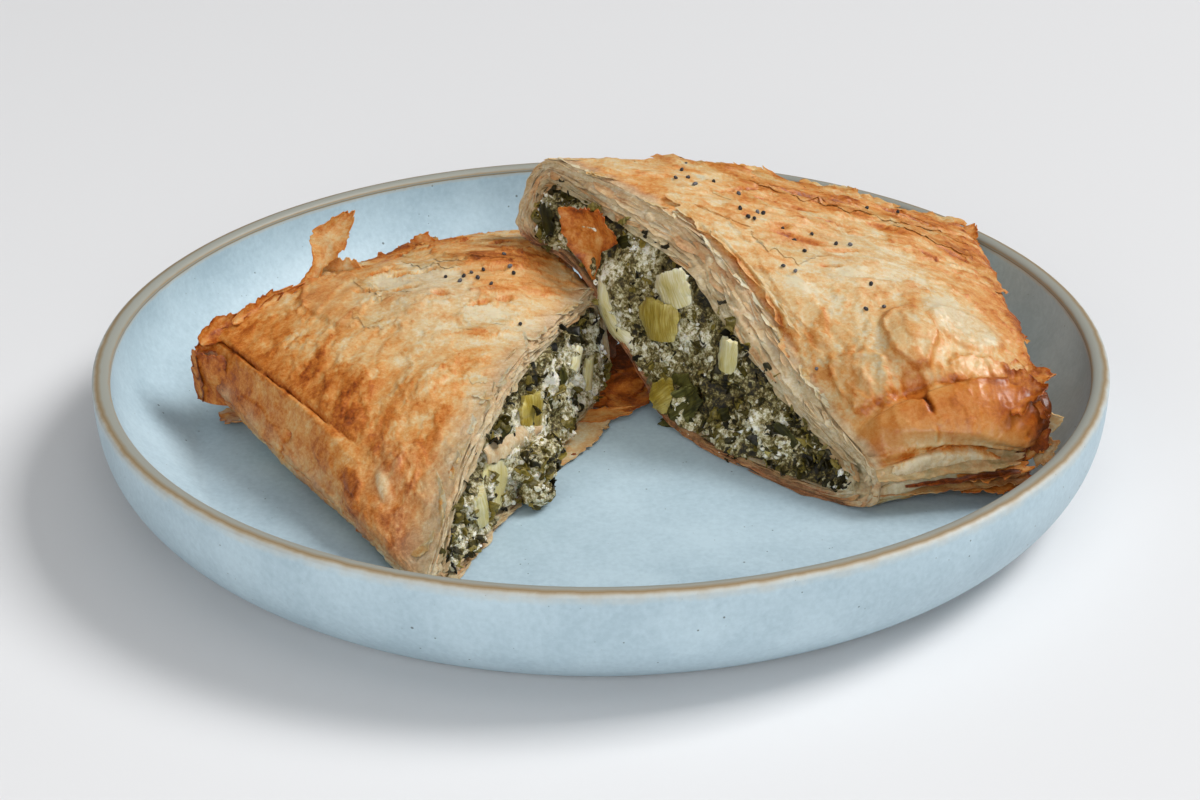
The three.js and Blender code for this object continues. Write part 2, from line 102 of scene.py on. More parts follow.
def noise(points: Array, seed: int = 0) -> Array:
    """Gradient noise from about -1 to 1.

    Each corner of a point's unit cell has a direction hashed from its place. Their dot products with the way
    from the corner are blended by the fifth-power step.

    Args:
        points: places, three numbers each.
        seed: which noise.

    Returns:
        One number for each place.
    """
    cell = np.floor(points).astype(np.int64)
    inside = points - cell
    blend = inside**3 * (inside * (inside * 6 - 15) + 10)
    total = np.zeros(points.shape[:-1])
    for corner in product((0, 1), repeat=3):
        x, y, z = np.moveaxis(cell + corner, -1, 0)
        mixed = (x * 73856093 ^ y * 19349663 ^ z * 83492791 ^ (seed + 1) * 40503) & 0xFFFFFFFF
        mixed = ((mixed ^ mixed >> 13) * 1274126177) & 0xFFFFFFFF
        mixed ^= mixed >> 16
        gradient = stacked(*((mixed >> shift & 1023) / 511.5 - 1 for shift in (0, 10, 20)))
        weight = np.where(corner, blend, 1 - blend).prod(-1)
        total += weight * ((inside - corner) * gradient).sum(-1)
    return total * 1.5


def clouds(points: Array, size: float | tuple, seed: int, octaves: int = 4) -> Array:
    """Noise in several sizes: each octave is half as large and half as high as the one before.

    Args:
        points: places, three numbers each.
        size: of the first octave, alike or along x, y and z.
        seed: which noise.
        octaves: how many.

    Returns:
        One number for each place.
    """
    total = np.zeros(points.shape[:-1])
    for octave in range(octaves):
        total += noise(points / np.asarray(size) * 2**octave + 19.7 * octave, seed + octave) / 2**octave
    return total


def wrinkles(points: Array, size: float | tuple, seed: int, octaves: int = 3) -> Array:
    """Sharp crests where a noise crosses nothing: the square of 1 - 2 |noise|, in several sizes.

    Args:
        points: places, three numbers each.
        size: of the first octave, alike or along x, y and z.
        seed: which noise.
        octaves: how many.

    Returns:
        One number from 0 to about 1 for each place.
    """
    total = np.zeros(points.shape[:-1])
    for octave in range(octaves):
        crest = 1 - 2 * np.abs(noise(points / np.asarray(size) * 2**octave + 7.9 * octave, seed + octave))
        total += np.clip(crest, 0, 1) ** 2 / 2**octave
    return total / 1.5


def curve_through(values: Array, x: Array) -> Array:
    """A smooth curve through values at equal steps of x from 0 to 1, by cubic Hermite pieces.

    Args:
        values: the values, one row for each step, either of one number or of as many as x has.
        x: the places.

    Returns:
        The curve's height at each place.
    """
    last = len(values) - 1
    at = np.clip(x, 0, 1) * last
    start = np.minimum(np.floor(at).astype(int), last - 1)
    t = at - start
    flat = values.reshape(last + 1, *values.shape[1:] or (1,) * x.ndim)
    rows = np.broadcast_to(flat, (last + 1, *x.shape))

    def pick(step: Array) -> Array:
        """The values at a step, held at the ends."""
        return np.take_along_axis(rows, np.clip(step, 0, last)[None], 0)[0]

    here, there = pick(start), pick(start + 1)
    slope_here, slope_there = (there - pick(start - 1)) / 2, (pick(start + 2) - here) / 2
    return (
        (2 * t**3 - 3 * t**2 + 1) * here
        + (t**3 - 2 * t**2 + t) * slope_here
        + (3 * t**2 - 2 * t**3) * there
        + (t**3 - t**2) * slope_there
    )


# --- surfaces
@dataclass
class Surface:
    """Points in millimetres, the faces on them, and values that the finishes read at the points."""

    points: Array
    faces: Array
    values: dict[str, Array] = field(default_factory=dict)

    def normals(self) -> Array:
        """The mean normal at each point: the faces' diagonals crossed, and summed at their corners.

        Returns:
            A vector of length 1 for each point.
        """
        corners = self.points[self.faces]
        crossed = np.cross(corners[:, 2] - corners[:, 0], corners[:, -1] - corners[:, 1])
        count, sides = len(self.points), self.faces.shape[1]
        at = self.faces.ravel()
        return unit(stacked(*(np.bincount(at, np.repeat(part, sides), count) for part in crossed.T)))

    def piece(self, name: str, slot: str, finish: Material) -> bpy.types.Object:
        """Makes the surface an object of the scene that rides on the pie.

        Args:
            name: the piece's name.
            slot: not used.
            finish: its material.

        Returns:
            The new object.
        """
        mesh = bpy.data.meshes.new(name)
        mesh.vertices.add(len(self.points))
        mesh.vertices.foreach_set("co", (self.points * MM).astype(np.float32).ravel())
        mesh.loops.add(self.faces.size)
        mesh.loops.foreach_set("vertex_index", self.faces.astype(np.int32).ravel())
        mesh.polygons.add(len(self.faces))
        starts = np.arange(0, self.faces.size, self.faces.shape[1], dtype=np.int32)
        mesh.polygons.foreach_set("loop_start", starts)
        mesh.update(calc_edges=True)
        for value_name, numbers in self.values.items():
            kind, key = ("FLOAT", "value") if numbers.ndim == 1 else ("FLOAT_VECTOR", "vector")
            attribute = mesh.attributes.new(value_name, kind, "POINT")
            attribute.data.foreach_set(key, numbers.astype(np.float32).ravel())
        mesh.shade_smooth()
        mesh.set_sharp_from_angle(angle=SHARP)
        mesh.materials.append(finish)
        made = bpy.data.objects.new(name, mesh)
        bpy.context.scene.collection.objects.link(made)
        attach(made, "root")
        LOG.info("%s: %d faces", name, len(self.faces))
        return made


def joined(surfaces: list[Surface]) -> Surface:
    """One surface of several that have faces with as many corners and the same values."""
    firsts = np.cumsum([0] + [len(s.points) for s in surfaces[:-1]])
    return Surface(
        np.concatenate([s.points for s in surfaces]),
        np.concatenate([s.faces + first for s, first in zip(surfaces, firsts)]),
        {key: np.concatenate([s.values[key] for s in surfaces]) for key in surfaces[0].values},
    )


def grid_faces(rows: int, columns: int, closed: bool = False) -> Array:
    """The faces of a grid of points, row by row.

    Args:
        rows: of points.
        columns: points in each row.
        closed: whether the last column joins the first.

    Returns:
        Four points' numbers for each face.
    """
    i, j = np.meshgrid(np.arange(rows - 1), np.arange(columns if closed else columns - 1), indexing="ij")
    here, k = i * columns, (j + 1) % columns
    return stacked(here + j, here + columns + j, here + columns + k, here + k).reshape(-1, 4)


def sheets(grids: Array, thickness: float, values: dict[str, Array] | None = None) -> Surface:
    """Closed thin sheets: each grid is carried half a thickness both ways along its normals.

    Args:
        grids: the middle surfaces, in the order sheet, row, column, then x, y, z.
        thickness: of every sheet, in millimetres.
        values: numbers at the grids' points, which both faces get.

    Returns:
        One surface with an upper and a lower face of each sheet and a strip round its edge.
    """
    count, rows, columns = grids.shape[:3]
    along, across = np.gradient(grids, axis=1), np.gradient(grids, axis=2)
    up = unit(np.cross(along, across)) * thickness / 2
    size = rows * columns
    points = np.stack([grids + up, grids - up], 1).reshape(-1, 3)
    upper = grid_faces(rows, columns)
    ids = np.arange(size).reshape(rows, columns)
    edge = np.concatenate([ids[:-1, 0], ids[-1, :-1], ids[:0:-1, -1], ids[0, :0:-1]])
    following = np.roll(edge, -1)
    strip = stacked(edge, edge + size, following + size, following)
    faces = np.concatenate([upper, upper[:, ::-1] + size, strip])
    firsts = 2 * size * np.arange(count)
    held = {key: np.stack([of, of], 1).reshape(-1, *of.shape[3:]) for key, of in (values or {}).items()}
    return Surface(points, (faces[None] + firsts[:, None, None]).reshape(-1, 4), held)


def ball(splits: int) -> tuple[Array, Array]:
    """A ball of radius 1: an icosahedron whose triangles are split in four a number of times.

    Args:
        splits: how many times.

    Returns:
        Its points and its three-cornered faces.
    """
    golden = (1 + 5**0.5) / 2
    points = [(-1, golden, 0), (1, golden, 0), (-1, -golden, 0), (1, -golden, 0)]
    points = unit(np.array([np.roll(p, turn) for turn in range(3) for p in points], float))
    gaps = np.linalg.norm(points[:, None] - points[None], axis=-1)
    near = gaps < 1.1
    faces = [
        (a, b, c)
        for a, b, c in product(range(12), repeat=3)
        if a < b and a < c and b != c and near[a, b] and near[b, c] and near[a, c]
        and np.dot(np.cross(points[b] - points[a], points[c] - points[a]), points[a]) > 0
    ]
    faces = np.array(faces)
    for _ in range(splits):
        sides = np.sort(np.concatenate([faces[:, [0, 1]], faces[:, [1, 2]], faces[:, [2, 0]]]), axis=1)
        pairs, which = np.unique(sides, axis=0, return_inverse=True)
        middle = which.reshape(3, -1).T + len(points)
        points = np.concatenate([points, unit(points[pairs].mean(1))])
        a, b, c = faces.T
        ab, bc, ca = middle.T
        quarters = ((a, ab, ca), (b, bc, ab), (c, ca, bc), (ab, bc, ca))
        faces = np.concatenate([np.stack(quarter, -1) for quarter in quarters])
    return points, faces


def turns(count: int, random: Generator) -> Array:
    """Random turns as matrices, from random unit quaternions."""
    w, x, y, z = unit(random.normal(size=(count, 4))).T
    return np.stack(
        [
            stacked(1 - 2 * (y * y + z * z), 2 * (x * y - z * w), 2 * (x * z + y * w)),
            stacked(2 * (x * y + z * w), 1 - 2 * (x * x + z * z), 2 * (y * z - x * w)),
            stacked(2 * (x * z - y * w), 2 * (y * z + x * w), 1 - 2 * (x * x + y * y)),
        ],
        -2,
    )


def lumps(places: Array, sizes: Array, splits: int, rough: float, random: Generator) -> Surface:
    """Uneven lumps: balls swollen by noise, pressed to three sizes and turned at random.

    Args:
        places: the middles, one row of x, y, z each.
        sizes: the three half sizes of each.
        splits: fineness of the balls.
        rough: how far the noise swells a ball, as a share of its size.
        random: the random numbers.

    Returns:
        One surface with every lump, and at each point "tone", a random number of its lump.
    """
    points, faces = ball(splits)
    count = len(places)
    shift = random.uniform(0, 99, (count, 1, 3))
    swell = 1 + rough * noise(points * 1.3 + shift, 5) + rough * 0.6 * noise(points * 3.1 + shift, 6)
    shaped = points * swell[..., None] * sizes[:, None]
    placed = np.einsum("nij,npj->npi", turns(count, random), shaped) + places[:, None]
    faces = faces + len(points) * np.arange(count)[:, None, None]
    tone = np.repeat(random.uniform(size=count), len(points))
    return Surface(placed.reshape(-1, 3), faces.reshape(-1, 3), {"tone": tone})


class BoxNet:
    """The outside of a box of cells as a net of four-cornered faces, open at its face v = 0."""

    def __init__(self, cells: Cells) -> None:
        """Lays the net.

        Args:
            cells: steps along u, v and w.
        """
        steps, faces, first = [], [], 0
        for axis, side in product(range(3), (0, 1)):
            if (axis, side) == (1, 0):
                continue
            a, b = (axis + 1) % 3, (axis + 2) % 3
            i, j = np.meshgrid(np.arange(cells[a] + 1), np.arange(cells[b] + 1), indexing="ij")
            corner = np.zeros((i.size, 3), int)
            corner[:, a], corner[:, b], corner[:, axis] = i.ravel(), j.ravel(), side * cells[axis]
            quads = grid_faces(cells[a] + 1, cells[b] + 1) + first
            steps.append(corner)
            faces.append(quads if side else quads[:, ::-1])
            first += i.size
        all_steps = np.concatenate(steps)
        keys = self._key(all_steps, cells)
        known, firsts, which = np.unique(keys, return_index=True, return_inverse=True)
        self.shares: Array = all_steps[firsts] / np.array(cells)
        self.faces: Array = which.ravel()[np.concatenate(faces)]
        nu, _, nw = cells
        u = np.concatenate([np.arange(nu), np.full(nw, nu), np.arange(nu, 0, -1), np.zeros(nw, int)])
        w = np.concatenate([np.zeros(nu, int), np.arange(nw), np.full(nu, nw), np.arange(nw, 0, -1)])
        loop = stacked(u, 0, w)
        self.rim: Array = np.searchsorted(known, self._key(loop, cells))

    @staticmethod
    def _key(steps: Array, cells: Cells) -> Array:
        """One whole number for each corner of the cells."""
        return (steps[:, 0] * (cells[1] + 1) + steps[:, 1]) * (cells[2] + 1) + steps[:, 2]


# --- materials
LOOK = ("bake", "dough", "front", "gloss", "stain")  # the values that the pastry's finish reads
Stops = tuple[tuple[float, str], ...]  # places on a ramp and their sRGB hex values
TIMES_PLUS = {"operation": "MULTIPLY_ADD"}
COLOURS = {"data_type": "RGBA"}


def linear(code: str) -> tuple[float, float, float, float]:
    """The linear colour of an sRGB hex value."""
    shares = [int(code[k : k + 2], 16) / 255 for k in (1, 3, 5)]
    return (*[s / 12.92 if s <= 0.04045 else ((s + 0.055) / 1.055) ** 2.4 for s in shares], 1.0)


def per_mm(size: float) -> float:
    """The scale of a texture on Object coordinates whose features are a size in millimetres."""
    return 1 / (size * MM)


def add_node(tree: NodeTree, kind: str, inputs: dict | tuple = (), settings: dict | None = None,
             output: int | str = 0) -> NodeSocket | None:
    """Adds a shader node with its settings and its links.

    Args:
        tree: the material's nodes.
        kind: the node's type without "ShaderNode".
        inputs: a value for each input or the socket that it is linked from, by name or in order.
        settings: its properties, and for a colour ramp its "stops".
        output: which of its outputs to give back.

    Returns:
        The output's socket, if the node has any.
    """
    node = tree.nodes.new(f"ShaderNode{kind}")
    for key, value in (settings or {}).items():
        if key != "stops":
            setattr(node, key, value)
            continue
        elements = node.color_ramp.elements
        for k, (place, code) in enumerate(value):
            element = elements[k] if k < len(elements) else elements.new(place)
            element.position = place
            element.color = linear(code)
    for key, value in inputs.items() if isinstance(inputs, dict) else enumerate(inputs):
        if isinstance(value, NodeSocket):
            tree.links.new(value, node.inputs[key])
        else:
            node.inputs[key].default_value = value
    return node.outputs[output] if node.outputs else None


def new_material(name: str) -> tuple[Material, Callable, NodeSocket]:
    """An empty material, ready for its nodes.

    Args:
        name: the material's name.

    Returns:
        The material, the call that adds a node to it, and its Object coordinates.
    """
    material = bpy.data.materials.new(name)
    material.use_nodes = True
    material.node_tree.nodes.clear()
    add = partial(add_node, material.node_tree)
    return material, add, add("TexCoord", output="Object")


@dataclass(frozen=True)
class FiloFinish:
    """Filo pastry brushed with butter and baked: thin brittle sheets, pale where they puffed away from the
    heat and brown where they touched it, with a soft gloss and light that sinks a little way in. Where they
    are thin and damp the filling's green shows through."""

    name: str
    front_heading: float  # degrees in plan of the streaks in front and behind
    back_heading: float
    stops: Stops = (
        (0, "#d3c5a4"), (0.2, "#d2b07c"), (0.4, "#cd9250"), (0.6, "#bd6f28"), (0.8, "#974910"),
        (1, "#5a2807"),
    )
    dough_stops: Stops = ((0, "#ded3b8"), (0.45, "#c4ad88"), (0.75, "#ac8a60"), (1, "#85603a"))
    green: str = "#6f6840"
    patch: float = 4.0  # mottling of the browning, mm
    streak: Triple = (4.6, 1.3, 2.0)  # streaks along the sheet, mm
    crinkle: float = 4.5  # between the fine crests of the crinkled skin, mm
    crackle: float = 0.9  # grain of the skin, drawn as coarse as it needs to show, mm
    roughness: Pair = (0.54, 0.2)  # where dry and where buttered

    def streaks(self, add: Callable, place: NodeSocket, heading: float) -> NodeSocket:
        """Noise drawn out along a heading in plan.

        Args:
            add: the call that adds a node.
            place: the coordinates.
            heading: in degrees.

        Returns:
            The noise, from 0 to 1.
        """
        headed = add("Mapping", {"Vector": place, "Rotation": (0, 0, -math.radians(heading))})
        scale = tuple(per_mm(size) for size in self.streak)
        pressed = add("VectorMath", (headed, scale), {"operation": "MULTIPLY"})
        drawn = {"Vector": pressed, "Scale": 1.0, "Detail": 5.0, "Roughness": 0.62, "Distortion": 0.9}
        return add("TexNoise", drawn)

    def material(self) -> Material:
        """Colour from "bake" with mottling, streaks and pale crests on it.

        Dough shows where "dough" says so and green where "stain" does. A crest is where a noise passes its
        middle.

        Returns:
            The material.
        """
        material, add, place = new_material(self.name)
        bake, dough, front, gloss, stain = (
            add("Attribute", settings={"attribute_name": key}, output="Fac") for key in LOOK
        )
        soft = {"Vector": place, "Detail": 6.0, "Roughness": 0.6}
        mottle, crackle = (
            add("TexNoise", soft | {"Scale": per_mm(size)}) for size in (self.patch, self.crackle)
        )
        crinkle = add("TexNoise", soft | {"Scale": per_mm(self.crinkle), "Detail": 4.0, "Distortion": 1.2})
        behind = self.streaks(add, place, self.back_heading)
        ahead = self.streaks(add, place, self.front_heading)
        calm = add("Math", (ahead, 0.5, 0.25), TIMES_PLUS)
        streak = add("Mix", {"Factor": front, "A": behind, "B": calm})
        crests = 0.0
        for source, weight in ((crinkle, 0.6), (behind, 0.4)):
            away = add("Math", (add("Math", (source, 2.0, -1.0), TIMES_PLUS),), {"operation": "ABSOLUTE"})
            crest = add("MapRange", {"Value": away, "From Max": 0.055, "To Min": 1.0, "To Max": 0.0})
            crests = add("Math", (crest, weight, crests), TIMES_PLUS)
        both = add("Math", (mottle, 0.66, -0.815), TIMES_PLUS)
        for source, weight in ((streak, 0.38), (crackle, 0.62), (crests, -0.14)):
            both = add("Math", (source, weight, both), TIMES_PLUS)
        even = add("MapRange", {"Value": gloss, "From Min": 0.35, "To Min": 1.0, "To Max": 0.45})
        browned = add("Math", (both, even, bake), TIMES_PLUS)
        crust = add("ValToRGB", {"Fac": browned}, {"stops": self.stops})
        shade = add("Math", (both, 1.3, 0.42), TIMES_PLUS)
        pale = add("ValToRGB", {"Fac": shade}, {"stops": self.dough_stops})
        colour = add("Mix", {"Factor": dough, 6: crust, 7: pale}, COLOURS, 2)
        damp = add("Math", (crinkle, 2.0, -0.3), TIMES_PLUS)
        soaked = add("Math", (stain, damp), {"operation": "MULTIPLY", "use_clamp": True})
        colour = add("Mix", {"Factor": soaked, 6: colour, 7: linear(self.green)}, COLOURS, 2)
        relief = add("Math", (crackle, 0.6, streak), TIMES_PLUS)
        relief = add("Math", (crests, 0.3, relief), TIMES_PLUS)
        strength = add("MapRange", {"Value": gloss, "To Min": 0.9, "To Max": 0.4})
        bump = add("Bump", {"Strength": strength, "Distance": 0.25 * MM, "Height": relief})
        dry, buttered = self.roughness
        rough = add("MapRange", {"Value": gloss, "To Min": dry, "To Max": buttered})
        shader = add("BsdfPrincipled", {
            "Base Color": colour, "Normal": bump, "Roughness": rough, "IOR": 1.45, "Specular IOR Level": 0.38,
            "Subsurface Weight": 0.2, "Subsurface Radius": (1.0, 0.55, 0.25), "Subsurface Scale": 1.5 * MM,
        })
        add("OutputMaterial", {"Surface": shader})
        return material


@dataclass(frozen=True)
class GlazeFinish:
    """Stoneware dipped in a powder blue satin glaze: iron in the clay bleeds through as small dark specks,
    and the glaze runs thin on the rim, where the bare clay shows brown."""

    name: str = "stoneware_glaze"
    blue: str = "#b6cbd5"
    thick: str = "#a3b9c4"
    speck: str = "#5b6468"
    halo: str = "#c3bfb2"
    rim: str = "#94958c"
    edge: str = "#8b7656"  # where the glaze breaks over the rim's outer edge
    clay: str = "#9c7f56"
    roughness: float = 0.46

    def material(self) -> Material:
        """Blue with soft clouds and specks. The "rim" value turns it to halo, rim glaze and bare clay.

        Returns:
            The material.
        """
        material, add, place = new_material(self.name)
        rim = add("Attribute", settings={"attribute_name": "rim"}, output="Fac")
        cloud, mist, size, ragged = (
            add("TexNoise", {"Vector": place, "Scale": per_mm(width), "Detail": detail, "Roughness": 0.6})
            for width, detail in ((24.0, 8.0), (1.4, 4.0), (7.0, 2.0), (6.0, 4.0))
        )
        misty = add("Math", (mist, 0.7, -0.35), TIMES_PLUS)
        shade = add("Math", (cloud, misty))
        blue = add("ValToRGB", {"Fac": shade}, {"stops": ((0.3, self.thick), (0.7, self.blue))})
        cells = add("TexVoronoi", {"Vector": place, "Scale": per_mm(2.7)}, output="Distance")
        reach = add("MapRange", {"Value": size, "From Min": 0.42, "From Max": 0.78, "To Max": 0.2})
        inside = add("Math", (reach, cells), {"operation": "SUBTRACT"})
        speck = add("MapRange", {"Value": inside, "From Max": 0.05, "To Max": 0.85})
        speckled = add("Mix", {"Factor": speck, 6: blue, 7: linear(self.speck)}, COLOURS, 2)
        worn = add("Math", (ragged, 0.2, -0.1), TIMES_PLUS)
        height = add("Math", (rim, worn))
        stops = (
            (0.0, self.blue), (0.16, self.halo), (0.38, self.edge), (0.6, self.rim), (0.78, self.rim),
            (1.0, self.clay),
        )
        band = add("ValToRGB", {"Fac": height}, {"stops": stops})
        shows = add("MapRange", {"Value": height, "From Min": 0.08, "From Max": 0.3})
        colour = add("Mix", {"Factor": shows, 6: speckled, 7: band}, COLOURS, 2)
        bump = add("Bump", {"Strength": 0.25, "Distance": 0.3 * MM, "Height": cloud})
        shader = add(
            "BsdfPrincipled",
            {"Base Color": colour, "Normal": bump, "Roughness": self.roughness, "IOR": 1.37},
        )
        add("OutputMaterial", {"Surface": shader})
        return material


@dataclass(frozen=True)
class FillingFinish:
    """Chopped spinach baked with feta: wet dark leaf with white curd through it, in bits of every size."""

    name: str = "spinach_filling"
    stops: Stops = (
        (0, "#0f0b03"), (0.2, "#2c240b"), (0.36, "#54471e"), (0.5, "#857745"), (0.62, "#b2a87e"),
        (0.75, "#d9d2b6"), (0.9, "#ebe7d8"),
    )
    bit: float = 1.3  # chopped bits, mm
    grain: float = 1.0  # the finest of them, mm

    def material(self) -> Material:
        """Colour by noise in bits, lighter where "curd" is high.

        Returns:
            The material.
        """
        material, add, place = new_material(self.name)
        curd = add("Attribute", settings={"attribute_name": "curd"}, output="Fac")
        bits = add("TexVoronoi", {"Vector": place, "Scale": per_mm(self.bit)}, output="Color")
        shade = add("SeparateColor", {"Color": bits})
        grain = {"Vector": place, "Scale": per_mm(self.grain), "Detail": 7.0, "Roughness": 0.78}
        fine = add("TexNoise", grain)
        level = add("Math", (curd, -0.66))
        for source, weight in ((shade, 0.36), (fine, 2.0)):
            level = add("Math", (source, weight, level), TIMES_PLUS)
        colour = add("ValToRGB", {"Fac": level}, {"stops": self.stops})
        bump = add("Bump", {"Strength": 0.8, "Distance": 0.5 * MM, "Height": fine})
        shader = add("BsdfPrincipled", {
            "Base Color": colour, "Normal": bump, "Roughness": 0.42, "Specular IOR Level": 0.35,
            "Subsurface Weight": 0.08, "Subsurface Scale": 1.0 * MM,
        })
        add("OutputMaterial", {"Surface": shader})
        return material


@dataclass(frozen=True)
class BitFinish:
    """One kind of bit in the filling or on the crust, a little different from bit to bit."""

    name: str
    stops: Stops
    size: float  # fine mottling, mm
    roughness: float
    subsurface: float = 0.0
    bump: float = 0.5
    fibre: Triple | None = None  # fibres along the bit's own length, mm
    shine: float = 0.5

    def material(self) -> Material:
        """Colour from the bit's own "tone" with fine mottling on it.

        Returns:
            The material.
        """
        material, add, place = new_material(self.name)
        tone = add("Attribute", settings={"attribute_name": "tone"}, output="Fac")
        scale = per_mm(self.size)
        if self.fibre:
            own = add("Attribute", settings={"attribute_name": "own"}, output="Vector")
            fibres = tuple(1 / size for size in self.fibre)
            place, scale = add("VectorMath", (own, fibres), {"operation": "MULTIPLY"}), 1.0
        fine = add("TexNoise", {"Vector": place, "Scale": scale, "Detail": 6.0, "Roughness": 0.65})
        mixed = add("Math", (fine, 1.1, -0.55), TIMES_PLUS)
        level = add("Math", (tone, mixed))
        colour = add("ValToRGB", {"Fac": level}, {"stops": self.stops})
        bump = add("Bump", {"Strength": self.bump, "Distance": 0.3 * MM, "Height": fine})
        shader = add("BsdfPrincipled", {
            "Base Color": colour, "Normal": bump, "Roughness": self.roughness,
            "Specular IOR Level": self.shine, "Subsurface Weight": self.subsurface,
            "Subsurface Radius": (1.0, 0.8, 0.4),
            "Subsurface Scale": 1.2 * MM,
        })
        add("OutputMaterial", {"Surface": shader})
        return material


FETA = BitFinish(
    "feta", ((0.1, "#9a9070"), (0.35, "#c3bb9a"), (0.6, "#dfd9c2"), (0.9, "#efebde")), 0.7, 0.45, 0.3,
)
SPINACH = BitFinish(
    "spinach_leaf", ((0, "#100e05"), (0.3, "#2b250b"), (0.6, "#544a1a"), (1, "#94823c")), 0.8, 0.45, 0.1,
    shine=0.3,
)
SPINACH_FOLD = BitFinish(
    "spinach_fold", ((0, "#121106"), (0.35, "#302e10"), (0.65, "#565224"), (1, "#96935c")),
    1.0, 0.5, 0.1, 0.9, (9.0, 0.5, 1.0), 0.15,
)
LEEK = BitFinish(
    "leek", ((0, "#665211"), (0.3, "#9c842a"), (0.55, "#bfae60"), (0.85, "#d6cc9d"), (1, "#e4dec2")),
    1.0, 0.28, 0.4, 0.8, (6.0, 0.4, 1.0),
)
POPPY = BitFinish(
    "poppy_seed", ((0, "#1b191b"), (0.7, "#383639"), (1, "#706e70")), 0.3, 0.5, 0.0, 0.3, shine=0.3,
)


# --- the form of a half
def rows_of(kind: type, *rows: tuple) -> tuple:
    """One object of a kind for each row of its values."""
    return tuple(kind(*row) for row in rows)


@dataclass(frozen=True)
class Spot:
    """A round mark on a half: its place on the unit box, its half sizes along u, v and w, and an amount."""

    u: float
    v: float
    w: float
    wide: float
    deep: float
    high: float
    amount: float

    def weight(self, box: Array) -> Array:
        """The amount, fading by a bell curve of the distance in half sizes."""
        away = (box - (self.u, self.v, self.w)) / (self.wide, self.deep, self.high)
        return self.amount * np.exp(-(away**2).sum(-1))


@dataclass(frozen=True)
class Crease:
    """A straight groove in the crown between two places."""

    start: Pair
    end: Pair
    depth: float
    width: float


